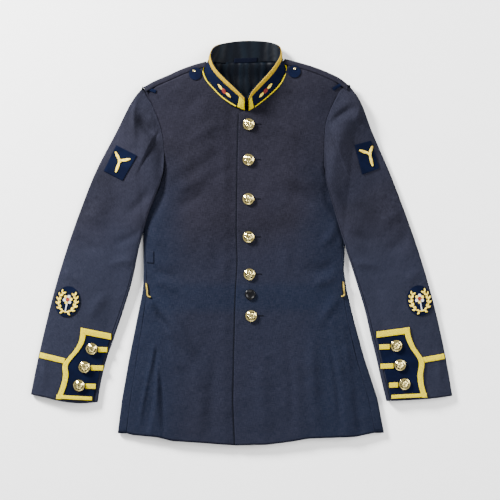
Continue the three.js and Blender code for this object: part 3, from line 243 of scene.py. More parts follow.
# Broad folds, from x, y to x, y with half width and height, and finer creases, which also say how far
# they bend. A height above 0 is a ridge, below 0 a trough
FOLDS = [
    (-174, -118, -100, -210, 12, 5), (-172, -128, -142, -168, 6, -3.5), (-168, -205, -178, -372, 9, 4),
    (-168, -215, -190, -360, 5, -2.5), (176, -160, 205, -372, 14, 5), (200, -200, 232, -366, 9, -3),
    (-136, 130, -60, 190, 16, 4), (140, 130, 80, 180, 16, 3), (96, -230, 112, -380, 18, 3),
]
HEAD_FOLDS = {
    "left": [
        (-208, 276, -206, 196, 8, 3.5), (-196, 238, -170, 212, 9, -4), (-262, 90, -300, 40, 16, 3),
    ],
    "right": [
        (232, 272, 222, 232, 8, 3.5), (248, 234, 254, 202, 8, 3), (178, 232, 218, 264, 9, -4),
        (270, 90, 312, 36, 16, 3),
    ],
}
CREASES = [
    (-172, -122, -136, -176, 4.5, -5.29, 3), (-160, -108, -96, -212, 9, 4.32, -5),
    (-146, -196, -110, -250, 10, 2.4, 4), (-167, -200, -186, -376, 4.5, -5.77, -4),
    (-164, -215, -160, -384, 8, 3.84, 5), (-169, -196, -203, -366, 3.4, 2.6, 1),
    (-168, -196, -152, -385, 3.8, -3.0, -3), (-92, -232, -84, -392, 15, 3.13, -5),
    (-48, -196, -58, -394, 12, -2.17, 3), (42, -212, 50, -394, 13, 2.17, 4),
    (88, -180, 100, -390, 9, -2.65, -4), (140, -170, 152, -382, 11, 3.61, 6),
    (168, -168, 196, -378, 6.5, -4.81, -5), (196, -160, 222, -372, 9, 4.56, -3),
    (196, -104, 150, -166, 9, 3.13, 5), (192, -40, 120, -56, 10, -2.65, -4),
    (190, -66, 132, -88, 8, 2.88, 3), (-176, -50, -118, -66, 9, -2.88, 4),
    (-172, -70, -122, -96, 8, 2.65, -3), (-184, 36, -150, -8, 9, 2.65, 4),
    (190, 40, 156, -6, 9, 2.88, -4), (-140, 98, -54, 150, 13, 3.84, 5),
    (-138, 66, -66, 104, 10, -2.65, 4), (150, 104, 72, 152, 13, 3.84, -5),
    (150, 72, 88, 112, 10, -2.88, -4), (-30, 236, -104, 196, 11, 2.65, 5),
    (52, 240, 110, 192, 11, 2.4, -5), (24, 218, 58, 196, 7, -1.92, 2), (-12, 150, -60, 120, 8, -1.67, 2),
    (-70, 296, -112, 250, 10, -2.4, 4), (84, 298, 122, 254, 10, -2.4, -4),
    (-104, 312, -160, 274, 9, 1.6, 3), (118, 316, 166, 278, 9, 1.6, -3),
    (-150, 120, -176, 40, 7, -2.6, -4), (160, 120, 186, 44, 7, -2.6, 4), (-62, 20, -66, -60, 14, 1.92, 4),
    (80, 14, 86, -70, 14, 2.17, -4),
]
SLEEVE_CREASES = {
    "left": [
        (-202, 246, -166, 208, 7, -6.45, 4), (-208, 286, -206, 204, 5, 4.43, 4),
        (-184, 250, -160, 236, 6, 2.82, 2), (-206, 188, -188, 90, 13, 1.5, 5),
        (-176, 110, -228, 52, 9, -3.22, -4), (-196, 24, -252, -2, 8, -3.03, -3),
        (-208, -34, -262, -44, 8, 2.82, 3), (-330, 18, -276, -20, 10, -2.63, 3),
        (-316, 58, -268, 34, 11, 3.03, -3), (-262, -96, -300, -152, 10, 2.63, 4),
        (-352, -44, -314, -78, 10, 2.22, 3), (-396, -180, -388, -290, 8, 2.42, -4),
    ],
    "right": [
        (178, 236, 220, 266, 7, -6.45, -3), (232, 284, 222, 236, 5, 4.43, -3),
        (250, 240, 256, 204, 5, 3.63, -2), (176, 228, 206, 240, 6, 2.82, -2),
        (212, 186, 200, 92, 13, 1.5, -5), (182, 110, 236, 52, 9, -3.22, 4),
        (206, 24, 262, 0, 8, -3.03, 3), (220, -40, 270, -48, 8, 2.82, -3),
        (334, 20, 282, -18, 10, -2.63, -3), (320, 60, 272, 36, 11, 3.03, 3),
        (268, -96, 302, -152, 10, 2.63, -4), (356, -44, 318, -78, 10, 2.22, -3),
        (396, -180, 390, -290, 8, 2.42, 4),
    ],
}


def mix(a, b, t):
    return a + (b - a) * t


def clamp(v, lo=0.0, hi=1.0):
    return min(hi, max(lo, v))


def smooth(a, b, v):
    t = clamp((v - a) / (b - a))
    return t * t * (3 - 2 * t)


def level_of(table, key, at, value):
    i = 0
    while i < len(table) - 2 and at > table[i + 1][key]:
        i += 1
    t = clamp((at - table[i][key]) / (table[i + 1][key] - table[i][key]))
    return mix(table[i][value], table[i + 1][value], t)


def steps(n):
    return [i / n for i in range(n + 1)]


def line_of(points):
    """A smooth line through the points, as a function of its length from 0 to 1."""
    pts = [Vector(p[:2]) for p in points]
    pts = [pts[0] * 2 - pts[1]] + pts + [pts[-1] * 2 - pts[-2]]
    dots = []
    for i in range(1, len(pts) - 2):
        p0, p1, p2, p3 = pts[i - 1 : i + 3]
        t0 = max(1e-4, (p1 - p0).length ** 0.5)
        t1 = max(1e-4, (p2 - p1).length ** 0.5)
        t2 = max(1e-4, (p3 - p2).length ** 0.5)
        m1 = ((p1 - p0) / t0 - (p2 - p0) / (t0 + t1) + (p2 - p1) / t1) * t1
        m2 = ((p2 - p1) / t1 - (p3 - p1) / (t1 + t2) + (p3 - p2) / t2) * t1
        for k in range(16 if i < len(pts) - 3 else 17):
            s = k / 16
            a = 2 * s**3 - 3 * s**2 + 1
            b = s**3 - 2 * s**2 + s
            c = -2 * s**3 + 3 * s**2
            d = s**3 - s**2
            dots.append(p1 * a + m1 * b + p2 * c + m2 * d)
    run = [0.0]
    for a, b in zip(dots, dots[1:]):
        run.append(run[-1] + (b - a).length)
    total = run[-1]

    def at(t):
        want = clamp(t) * total
        lo, hi = 0, len(run) - 1
        while hi - lo > 1:
            mid = (lo + hi) // 2
            if run[mid] <= want:
                lo = mid
            else:
                hi = mid
        k = (want - run[lo]) / max(1e-9, run[hi] - run[lo])
        return dots[lo].lerp(dots[hi], k)

    return at


def far_from(line, count):
    dots = [line(t) for t in steps(count)]

    def far(x, y):
        best = 1e9
        for a, b in zip(dots, dots[1:]):
            ex, ey = b.x - a.x, b.y - a.y
            t = clamp(((x - a.x) * ex + (y - a.y) * ey) / (ex * ex + ey * ey))
            best = min(best, math.hypot(x - a.x - ex * t, y - a.y - ey * t))
        return best

    return far


def arc_up(r, d):
    return 2 * r if d >= r else r + math.sqrt(max(0.0, r * r - (r - d) ** 2))


def folds_at(folds, x, y):
    z = 0.0
    for x0, y0, x1, y1, wide, high in folds:
        ex, ey = x1 - x0, y1 - y0
        k = clamp(((x - x0) * ex + (y - y0) * ey) / (ex * ex + ey * ey))
        d = math.hypot(x - x0 - ex * k, y - y0 - ey * k) / wide
        if d < 3:
            z += high * math.exp(-d * d) * (0.35 + 0.65 * math.sin(math.pi * clamp(k, 0.08, 0.92)))
    return z


def creases_at(creases, x, y):
    """Fine creases: a ridge or a trough along a line, dying away at both ends."""
    z = 0.0
    for x0, y0, x1, y1, wide, high, bow in creases:
        ex, ey = x1 - x0, y1 - y0
        k = ((x - x0) * ex + (y - y0) * ey) / (ex * ex + ey * ey)
        if -0.1 < k < 1.1:
            off = (x - x0) * ey - (y - y0) * ex
            d = (off / math.hypot(ex, ey) - bow * math.sin(math.pi * clamp(k))) / wide
            if abs(d) < 3:
                z += high * math.exp(-d * d) * smooth(-0.1, 0.35, k) * smooth(1.1, 0.6, k)
    return z


# The body's outline and the height of its front
def body_at(value, y):
    return level_of(BODY, "y", y, value)


def fold_at(y):
    return SIDE_FOLD * body_at("fold", y)


SIGN = {"left": 1, "right": -1}
shoulder_line = {side: line_of(SHOULDER[side]) for side in SIGN}
from_shoulder = {side: far_from(shoulder_line[side], 24) for side in SIGN}


def body_top(x, y, flat_edge=False):
    r = fold_at(y)
    d = max(0.0, min(x - body_at("left", y), body_at("right", y) - x))
    rise = body_at("rise", y) * 1.18
    edge = 2 * r if flat_edge else arc_up(r, d)
    z = edge + rise * (1 - math.exp(-max(0.0, d - r) / BODY_SPREAD))
    if y > 190:
        far = min(from_shoulder["left"](x, y), from_shoulder["right"](x, y))
        beyond = max(0.0, far - SHOULDER_FOLD)
        s = arc_up(SHOULDER_FOLD, far) + 8 * (1 - math.exp(-beyond / SHOULDER_SPREAD))
        k = clamp(0.5 + (s - z) / 8)
        z = mix(s, z, k) - 2 * k * (1 - k)
    return z + smooth(2, 26, d) * folds_at(FOLDS, x, y)


def patch_of(low, high, near, far):
    """A flat patch between four lines, as a function of its shares across and up."""
    c00, c10, c01, c11 = low(0), low(1), high(0), high(1)

    def at(u, v):
        ruled = low(u).lerp(high(u), v) + near(v).lerp(far(v), u)
        return ruled - c00.lerp(c10, u).lerp(c01.lerp(c11, u), v)

    return at


def flat(x, y):
    return Vector((x, y))


def hem_y(x):
    return level_of(HEM, 0, x, 1)


def edge_x(y):
    return level_of(FRONT_EDGE, 1, y, 0)


def on_front(x, y, lift=0.0):
    r = fold_at(y)
    for side, sign in SIGN.items():
        along = (x - body_at(side, y)) * sign - r + math.pi / 2 * r
        if -8 < along < math.pi / 2 * r:
            a = max(along, -1.5 * r) / r
            edge = body_at(side, y)
            return Vector((edge + sign * (r - (r + lift) * math.cos(a)), y, r + (r + lift) * math.sin(a)))
    return Vector((x, y, body_top(x, y) + lift))


def seam_x(side, y, gap):
    return body_at(side, y) + SIGN[side] * (fold_at(y) * (1 - math.pi / 2) + body_at("seam", y) + gap)


def shoulder_seam(side, t, gap):
    line = shoulder_line[side]
    p = line(t)
    k = clamp(t + 0.02, 0.02, 1)
    run = (line(k) - line(k - 0.02)).normalized()
    far = SHOULDER_FOLD + 2.2 + gap
    return Vector((p.x + SIGN[side] * run.y * far, p.y - SIGN[side] * run.x * far))


def front_surface(side):
    """One front: its cut, from (share across, share up) to a flat place, and how that place lies."""
    left = side == "left"
    sign = SIGN[side]
    end_y = 250 if left else 253
    under = LAP if left else 0
    low_y = hem_y(seam_x(side, -372, GAP))
    rise = [(seam_x(side, y, GAP), y) for y in [low_y] + SEAM_LEVELS]
    scoop = SCOOP[side][::-1]
    arm = ARMHOLE[side][::-1][:-1]
    corner = shoulder_seam(side, 0.01, GAP)
    top = (corner.x + 1.5 * sign, corner.y)
    side_line = line_of(rise)
    clear = [(x + sign, y - 0.6) for x, y in scoop]
    scoop_line = line_of([rise[-1]] + clear)
    arm_line = line_of([clear[3]] + arm[1:-1] + [top])

    def outer(v):
        if v <= SCOOP_AT:
            return side_line(v / SCOOP_AT)
        if v <= ARM_AT:
            return scoop_line((v - SCOOP_AT) / (ARM_AT - SCOOP_AT))
        return arm_line((v - ARM_AT) / (1 - ARM_AT))

    def centre(v):
        y = mix(hem_y(edge_x(-390) + under), end_y, v)
        return flat(edge_x(y) + under, y)

    neck_rows = COLLAR[:6][::-1] if left else COLLAR[11:]
    neck = [c[:2] for c in neck_rows]
    seam = [shoulder_seam(side, mix(0.01, 0.93, t), GAP) for t in steps(6)]
    seam[0] = top
    seam_line = line_of(seam)
    neck_line = line_of([seam[-1]] + neck[:-1] + [(edge_x(end_y) + under, end_y)])

    def high(u):
        return seam_line(u * 2) if u <= 0.5 else neck_line(u * 2 - 1)

    x0, x1 = rise[0][0], centre(0).x

    def low(u):
        x = mix(x0, x1, u)
        return flat(x, low_y if u == 0 else hem_y(x))

    patch = patch_of(low, high, outer, centre)

    def lay(p):
        q = on_front(p.x, p.y)
        inner = smooth(4, 30, min(q.x - body_at("left", q.y), body_at("right", q.y) - q.x))
        q.z += creases_at(CREASES, q.x, q.y) * inner
        if left:
            q.z -= LAP_STEP * smooth(-36, -14, q.x)
        return q

    return patch, lay


def on_back(x, y):
    r = fold_at(y)
    for side, sign in SIGN.items():
        edge = body_at(side, y)
        along = r - (x - edge) * sign
        if along > 0 and y < 108:
            a = along / r
            if a <= math.pi:
                return Vector((edge + sign * (r - r * math.sin(a)), y, r - r * math.cos(a)))
            top = edge + sign * (r + along - math.pi * r)
            return Vector((top, y, body_top(top, y)))
    return Vector((x, y, 0.0))


def back_surface():
    turn = {"left": flat(-0.352, 0.936), "right": flat(0.31, 0.951)}

    def seam_back(side, y):
        return body_at(side, y) + SIGN[side] * (fold_at(y) * (1 - math.pi / 2) - body_at("seam", y)), y

    def side_line(side):
        hem_point = (seam_back(side, -372)[0], hem_y(body_at(side, -372) + (20 if side == "left" else -20)))
        lower = line_of([hem_point] + [seam_back(side, y) for y in SEAM_LEVELS])
        arm = BACK_ARMHOLE[side][::-1]
        last = flat(*arm[-1]) - turn[side] * SHOULDER_FOLD
        upper = line_of([seam_back(side, 92)] + arm[:-1] + [last])
        return lambda v: lower(v / 0.7) if v < 0.7 else upper((v - 0.7) / 0.3)

    near, far = side_line("left"), side_line("right")
    n_left, n_right = shoulder_line["left"](1), shoulder_line["right"](1)
    neck_line = line_of([n_left] + COLLAR[6:11] + [n_right])

    def radius(u):
        return mix(3, SHOULDER_FOLD, smooth(0.42, 0.31, min(u, 1 - u)))

    def lean(u):
        return turn["left"].lerp(turn["right"], smooth(0.25, 0.75, u))

    def fold(u):
        if u <= 0.3:
            return shoulder_line["left"](u / 0.3)
        if u >= 0.7:
            return shoulder_line["right"]((1 - u) / 0.3)
        return neck_line((u - 0.3) / 0.4)

    def high(u):
        return fold(u) - lean(u) * radius(u)

    h0, h1 = near(0), far(0)

    def low(u):
        x = mix(h0.x, h1.x, u)
        return flat(x, hem_y(clamp(x, -224, 262)))

    patch = patch_of(low, high, near, far)

    def at(u, v):
        """v runs up the floor to OVER_AT, then over the shoulder fold to the seam at 1."""
        if v <= OVER_AT:
            p = patch(u, v / OVER_AT)
            return on_back(p.x, p.y), p
        k = (v - OVER_AT) / (1 - OVER_AT)
        p, n, r = high(u), lean(u), radius(u)
        last = mix(-60, 90, smooth(0.42, 0.3, min(u, 1 - u)))
        a = math.radians(mix(-90, last, min(1, k / 0.93)))
        back = mix(0.4, 1.8, smooth(0.34, 0.3, min(u, 1 - u))) * max(0, k - 0.93) / 0.07
        q = p + n * (r * math.cos(a) - back)
        return Vector((q.x, q.y, r + r * math.sin(a))), flat(p.x, p.y + k * 34)

    return at


class Sleeve:
    """A place is a share across (0 outer crease, 1 inner) and a share down (0 head, 1 cuff)."""

    def __init__(self, side):
        self.side = side
        self.sign = SIGN[side]
        shift = -self.sign * 0.45

        def moved(rows):
            return [(x + shift, y) for x, y in rows]

        outer = [row[:2] for row in SLEEVE[side]]
        inner = [row[2:] for row in SLEEVE[side]]
        outer[:1], inner[:1] = moved(outer[:1]), moved(inner[:1])
        self.outer, self.inner = line_of(outer), line_of(inner)
        self.head = line_of(moved(ARMHOLE[side]))
        head_under = line_of(moved(BACK_ARMHOLE[side] + SCOOP[side][:-1][::-1]))
        cuff = line_of(CUFF_EDGE[side])
        self.top = patch_of(self.head, cuff, self.outer, self.inner)
        self.under = patch_of(head_under, cuff, self.outer, self.inner)
        self.length = 640.0

    def width(self, v):
        return (self.outer(v) - self.inner(v)).length

    def r_out(self, v):
        return mix(SHOULDER_FOLD, SLEEVE_FOLD, smooth(0, 0.22, v))

    def r_in(self, v):
        return SLEEVE_FOLD * mix(0.78, 1, smooth(0, 0.1, v))

    def rest(self, x, y, reach):
        out = (body_at(self.side, y) - x) * self.sign
        if out <= 0:
            return body_top(x, y, True) + LIES_ON
        return (2 * fold_at(y) + LIES_ON) * (1 - smooth(0, reach, out))

    def low(self, x, y):
        inside = smooth(14, 26, (x - body_at(self.side, y)) * self.sign)
        return self.rest(x, y, 22) * mix(1 - smooth(0, 25, y - UNDERARM), 1, inside)

    def top_at(self, w, v, lift=0.0, creased=True):
        p = self.top(w, v)
        wide = self.width(v)
        d_out, d_in = max(0.0, w * wide), max(0.0, (1 - w) * wide)
        d = min(d_out, d_in)
        r = self.r_out(v) if d_out < d_in else self.r_in(v)
        z = self.rest(p.x, p.y, 60) + arc_up(r, d) + 6.5 * (1 - math.exp(-max(0.0, d - r) / SLEEVE_SPREAD))
        if v < 0.12:
            h = self.head(w)
            z = mix(body_top(h.x, h.y) + 7 * smooth(0.72, 1, w), z, smooth(0, 0.11, v))
        z += smooth(3, 20, d) * smooth(0, 0.03, v) * folds_at(HEAD_FOLDS[self.side], p.x, p.y)
        if creased:
            z += smooth(3, 18, d) * smooth(0, 0.03, v) * creases_at(SLEEVE_CREASES[self.side], p.x, p.y)
        return Vector((p.x, p.y, z + lift))

    def under_at(self, w, v, arc=0.0):
        p = self.under(w, v)
        return Vector((p.x, p.y, self.low(p.x, p.y) + arc))

    def ring(self, a, v):
        """A place by its distance round: 0 at the outer crease, over the top to the inner one."""
        wide, r, q = self.width(v), self.r_out(v), self.r_in(v)
        quarter = math.pi / 2
        over = wide - r - q + quarter * (r + q)
        if a < -quarter * r:
            return self.under_at((-a + r - quarter * r) / wide, v)
        if a < 0:
            return self.under_at(r * (1 - math.cos(a / r)) / wide, v, r + r * math.sin(a / r))
        if a < quarter * r:
            return self.top_at(r * (1 - math.cos(a / r)) / wide, v)
        b = over - a
        if b > quarter * q:
            return self.top_at((a - quarter * r + r) / wide, v)
        if b > 0:
            return self.top_at(1 - q * (1 - math.cos(b / q)) / wide, v)
        if b > -quarter * q:
            return self.under_at(1 - q * (1 - math.cos(b / q)) / wide, v, q + q * math.sin(b / q))
        return self.under_at(1 - (-b + q - quarter * q) / wide, v)

    def over(self, v):
        r, q = self.r_out(v), self.r_in(v)
        return self.width(v) - r - q + math.pi / 2 * (r + q)

    def find(self, x, y):
        w = v = 0.5
        for _ in range(12):
            p, pw, pv = self.top(w, v), self.top(w + 0.01, v), self.top(w, v + 0.01)
            a, b = (pw.x - p.x) / 0.01, (pv.x - p.x) / 0.01
            c, d = (pw.y - p.y) / 0.01, (pv.y - p.y) / 0.01
            det = a * d - b * c
            w = clamp(w + (d * (x - p.x) - b * (y - p.y)) / det, 0, 0.99)
            v = clamp(v + (a * (y - p.y) - c * (x - p.x)) / det, 0, 0.985)
        return w, v

    def upon(self, x, y, lift=0.0):
        w, v = self.find(x, y)
        return Vector((x, y, self.top_at(w, v, lift).z))


sleeves = {side: Sleeve(side) for side in SIGN}


def inner_seam(v):
    return mix(5.8, 9.5, smooth(0.3, 1, v)) + 0.6


def collar_point(t, h, out=0.0):
    at = clamp(t) * (len(COLLAR) - 1)
    i = min(len(COLLAR) - 2, int(at))
    k = at - i

    def soft(key):
        a, b, c, d = (COLLAR[int(clamp(i + n, 0, len(COLLAR) - 1))][key] for n in (-1, 0, 1, 2))
        return b + 0.5 * k * (c - a + k * (2 * a - 5 * b + 4 * c - d + k * (3 * (b - c) + d - a)))

    base, top = Vector([soft(n) for n in (0, 1, 2)]), Vector([soft(n) for n in (3, 4, 5)])
    p = base.lerp(top, h)
    if out:
        along = collar_point(min(1, t + 0.004), h) - collar_point(max(0, t - 0.004), h)
        p -= along.cross(top - base).normalized() * out
    return p


# Making pieces
def finish_piece(mesh, name, material, nodes=None, thick=None, bevel=0.0, inside=None):
    """Makes a mesh a piece; it stands for the node of its own name unless nodes says otherwise."""
    data = bpy.data.meshes.new(name + "_shape")
    mesh.to_mesh(data)
    mesh.free()
    data.materials.append(material)
    for face in data.polygons:
        face.use_smooth = True
    piece = bpy.data.objects.new(name + "_shape", data)
    bpy.context.scene.collection.objects.link(piece)
    if thick:
        wall = piece.modifiers.new("thickness", "SOLIDIFY")
        wall.thickness = thick * MM
        wall.offset = -1
        if inside:
            data.materials.append(inside)
            wall.material_offset = 1
    if bevel:
        edge = piece.modifiers.new("soft edge", "BEVEL")
        edge.width = bevel * MM
        edge.segments = 2
        edge.limit_method = "ANGLE"
        edge.angle_limit = math.radians(50)
    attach(piece, "root")
    if nodes is None:
        nodes = [name]
    if nodes:
        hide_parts(*nodes)
    return piece


def sheet_of(us, vs, place, reading=None, flip=False):
    """A grid whose points are put by place(u, v) in mm; reading(u, v) gives its cloth map in mm."""
    mesh = bmesh.new()
    nu, nv = len(us) - 1, len(vs) - 1
    bmesh.ops.create_grid(mesh, x_segments=nu, y_segments=nv, size=0.5)
    layer = mesh.loops.layers.uv.new("cloth")
    share = {}
    for vert in mesh.verts:
        share[vert.index] = us[round((vert.co.x + 0.5) * nu)], vs[round((vert.co.y + 0.5) * nv)]
    reads = {}
    for vert in mesh.verts:
        u, v = share[vert.index]
        p = place(u, v)
        vert.co = p * MM
        r = reading(u, v) if reading else p
        reads[vert.index] = (r[0] * MM, r[1] * MM)
    for face in mesh.faces:
        for loop in face.loops:
            loop[layer].uv = reads[loop.vert.index]
    if flip:
        bmesh.ops.reverse_faces(mesh, faces=mesh.faces)
    return mesh


def uneven(marks):
    """Shares through the marks, each with the number of steps that lead up to it."""
    out = [marks[0][0]]
    for (a, _), (b, n) in zip(marks, marks[1:]):
        out += [mix(a, b, i / n) for i in range(1, n + 1)]
    return out


def front(side, name):
    patch, lay = front_surface(side)
    us = uneven([(0, 0), (0.04, 6), (0.1, 6), (0.5, 34), (1, 44)])
    vs = uneven([(0, 0), (SCOOP_AT, 88), (ARM_AT, 22), (1, 40)])
    mesh = sheet_of(us, vs, lambda u, v: patch(u, v).to_3d(), flip=side == "right")
    inner = [vert for vert in mesh.verts if not vert.is_boundary]
    flat_only = dict(use_axis_x=True, use_axis_y=True, use_axis_z=False)
    for _ in range(140):
        bmesh.ops.smooth_vert(mesh, verts=inner, factor=0.5, **flat_only)
    layer = mesh.loops.layers.uv["cloth"]
    for face in mesh.faces:
        for loop in face.loops:
            loop[layer].uv = loop.vert.co.xy
    for vert in mesh.verts:
        vert.co = lay(vert.co / MM) * MM
    return finish_piece(mesh, name, WOOL, None, CLOTH, inside=SATIN)


def back():
    surface = back_surface()
    half = [(0, 0), (0.03, 8), (0.062, 12), (0.1, 4), (0.3, 16)]
    us = uneven(half + [(0.7, 30), (0.9, 16), (0.938, 4), (0.97, 12), (1, 8)])
    vs = uneven([(0, 0), (OVER_AT, 70), (1, 14)])
    mesh = sheet_of(us, vs, lambda u, v: surface(u, v)[0], lambda u, v: surface(u, v)[1], flip=True)
    return finish_piece(mesh, "back", WOOL, None, CLOTH, inside=SATIN)


def sleeve_half(side, part, name):
    s = sleeves[side]

    def start(v):
        return -max(OUTER_SEAM, s.r_out(v) + 6)

    def place(u, v):
        if part == "top":
            a = mix(start(v) - s.r_out(v) * (1 - math.pi / 2), s.over(v) - inner_seam(v) - GAP * 2.2, u)
        else:
            round_under = s.width(v) - s.r_out(v) - s.r_in(v)
            back_way = round_under - (-start(v) - s.r_out(v))
            low_end = s.over(v) + math.pi / 2 * s.r_in(v) + back_way - GAP
            a = mix(s.over(v) - inner_seam(v), low_end, u)
        return s.ring(a, v)

    def reading(u, v):
        wide = s.over(v) + 40
        return (u * wide if part == "top" else 300 + u * wide, -v * s.length)

    if part == "top":
        us = uneven([(0, 0), (0.16, 14), (0.24, 6), (0.9, 42), (1, 8)])
    else:
        us = uneven([(0, 0), (0.16, 14), (1, 34)])
    vs = uneven([(0, 0), (0.12, 22), (0.4, 40), (1, 78)])
    mesh = sheet_of(us, vs, place, reading, flip=s.sign > 0)
    return finish_piece(mesh, name, SLEEVE_WOOL_PAINTED_LIGHTER, None, CLOTH, inside=SATIN)


def collar_band(name, material, span, rise, out, thick, counts, nodes=None, bulge=0.0, upright=False):
    us = [mix(span[0], span[1], t) for t in steps(counts[0])]
    vs = [mix(rise[0], rise[1], t) for t in steps(counts[1])]

    def place(t, h):
        k = (h - rise[0]) / (rise[1] - rise[0])
        return collar_point(t, h, out + bulge * math.sin(math.pi * clamp(k)))

    def reading(t, h):
        around, up = (t - sum(span) / 2) * COLLAR_ROUND, (h - sum(rise) / 2) * 38
        return (around, up) if upright else (up, around)

    mesh = sheet_of(us, vs, place, reading, flip=True)
    return finish_piece(mesh, name, material, nodes, thick)


def length_of(line):
    return sum((line(b) - line(a)).length for a, b in zip(steps(20), steps(20)[1:]))


def strip(
    name, material, place, path, width, lift, count, across=2, thick=TRIM, nodes=None, crown=0.3,
    bevel=SOFT_EDGE,
):
    """A band along a path on a surface, a little higher along its middle."""
    line = line_of(path)
    total = length_of(line)

    def at(u, v):
        p = line(v)
        run = (line(min(1, v + 0.02)) - line(max(0, v - 0.02))).normalized()
        half = (width(v) if callable(width) else width) / 2
        k = u * 2 - 1
        return place(p.x - run.y * half * k, p.y + run.x * half * k, lift + crown * (1 - k * k))

    mesh = sheet_of(steps(across * 2), steps(count), at, lambda u, v: ((u - 0.5) * 10, v * total))
    face_up(mesh)
    return finish_piece(mesh, name, material, nodes, thick, bevel)


def face_up(mesh):
    mesh.normal_update()
    if sum(f.normal.z * f.calc_area() for f in mesh.faces) < 0:
        bmesh.ops.reverse_faces(mesh, faces=mesh.faces)


def between(place, edge_a, edge_b, lift, count, across, crown=0.0):
    a, b = line_of(edge_a), line_of(edge_b)

    def at(u, v):
        p = a(v).lerp(b(v), u)
        k = u * 2 - 1
        return place(p.x, p.y, lift + crown * (1 - k * k))

    long, wide = length_of(a), (a(0.5) - b(0.5)).length
    mesh = sheet_of(steps(across), steps(count), at, lambda u, v: ((u - 0.5) * wide, v * long))
    face_up(mesh)
    return mesh


def oval(place, x, y, rx, ry, turn, lift, rings=14):
    c, k = math.cos(turn), math.sin(turn)

    def at(u, v):
        s = -math.cos(math.pi * clamp(v, 0.03, 0.97))
        across = (u * 2 - 1) * math.sqrt(max(0.0, 1 - s * s))
        px, py = across * rx, s * ry
        return place(x + px * c - py * k, y + px * k + py * c, lift)

    mesh = sheet_of(steps(12), steps(rings), at)
    face_up(mesh)
    return mesh


def turned(profile, radius, turns=28):
    """A button or ring: its profile, as shares of its radius, spun round its axis."""
    mesh = bmesh.new()
    verts = [mesh.verts.new((r * radius * MM, 0, h * radius * MM)) for r, h in profile]
    edges = [mesh.edges.new(pair) for pair in zip(verts, verts[1:])]
    spin = dict(cent=(0, 0, 0), axis=(0, 0, 1), angle=math.tau, steps=turns, use_merge=True)
    bmesh.ops.spin(mesh, geom=verts + edges, **spin)
    bmesh.ops.remove_doubles(mesh, verts=mesh.verts, dist=0.02 * MM)
    bmesh.ops.recalc_face_normals(mesh, faces=mesh.faces)
    return mesh


# Materials
class Value:
    """A shader value; sums on it are written as plain arithmetic."""

    def __init__(self, paint, socket):
        self.paint, self.socket = paint, socket

    def sum(self, kind, *others):
        return self.paint.node("ShaderNodeMath", dict(operation=kind), [self, *others])

    def __add__(self, o):
        return self.sum("ADD", o)

    def __sub__(self, o):
        return self.sum("SUBTRACT", o)

    def __mul__(self, o):
        return self.sum("MULTIPLY", o)

    def __rsub__(self, o):
        return self * -1 + o

    __radd__, __rmul__ = __add__, __mul__

    def wave(self):
        return self.sum("SINE")

    def size(self):
        return self.sum("ABSOLUTE")

    def ramp(self, low, high, to_low=0.0, to_high=1.0):
        inputs = [self, low, high, to_low, to_high]
        return self.paint.node("ShaderNodeMapRange", dict(interpolation_type="SMOOTHSTEP"), inputs)


class Paint:
    """A procedural material, built node by node."""

    def __init__(self, name):
        self.material = bpy.data.materials.new(name)
        self.material.use_nodes = True
        self.tree = self.material.node_tree
        self.tree.nodes.clear()
        self.shader = self.tree.nodes.new("ShaderNodeBsdfPrincipled")
        out = self.tree.nodes.new("ShaderNodeOutputMaterial")
        self.tree.links.new(self.shader.outputs["BSDF"], out.inputs["Surface"])

    def feed(self, socket, value):
        if isinstance(value, Value):
            self.tree.links.new(value.socket, socket)
        else:
            socket.default_value = value

    def node(self, kind, settings, inputs, result=0):
        node = self.tree.nodes.new(kind)
        for key, value in settings.items():
            setattr(node, key, value)
        pairs = inputs.items() if isinstance(inputs, dict) else enumerate(inputs)
        for key, value in pairs:
            self.feed(node.inputs[key], value)
        return Value(self, node.outputs[result])

    def axis(self, vector, n):
        return self.node("ShaderNodeSeparateXYZ", {}, [vector], n)

    def place(self, *xyz):
        return self.node("ShaderNodeCombineXYZ", {}, xyz)

    def cloth(self):
        """The piece's own cloth map in millimetres: across and along."""
        uv = self.node("ShaderNodeUVMap", dict(uv_map="cloth"), {})
        return self.axis(uv, 0) * 1000, self.axis(uv, 1) * 1000

    def spot(self):
        return self.node("ShaderNodeTexCoord", {}, {}, "Object")

    def noise(self, scale, detail=2.0, rough=0.5, at=None):
        inputs = {"Vector": at or self.spot(), "Scale": scale, "Detail": detail, "Roughness": rough}
        return self.node("ShaderNodeTexNoise", {}, inputs)

    def blend(self, share, a, b):
        """A mix of two colours; 0, 6 and 7 are the node's share and colour inputs, 2 its colour result."""
        return self.node("ShaderNodeMix", dict(data_type="RGBA"), {0: share, 6: a, 7: b}, 2)

    def bump(self, height, strength, distance, below=None):
        inputs = {"Strength": strength, "Distance": distance, "Height": height}
        if below:
            inputs["Normal"] = below
        return self.node("ShaderNodeBump", {}, inputs)

    def set(self, **values):
        for key, value in values.items():
            self.feed(self.shader.inputs[key.replace("_", " ")], value)
        return self.material


def tint(r, g, b):
    """A colour given as it is seen, 0 to 255."""
    shares = [c / 255 for c in (r, g, b)]
    return *(c / 12.92 if c <= 0.04045 else ((c + 0.055) / 1.055) ** 2.4 for c in shares), 1.0


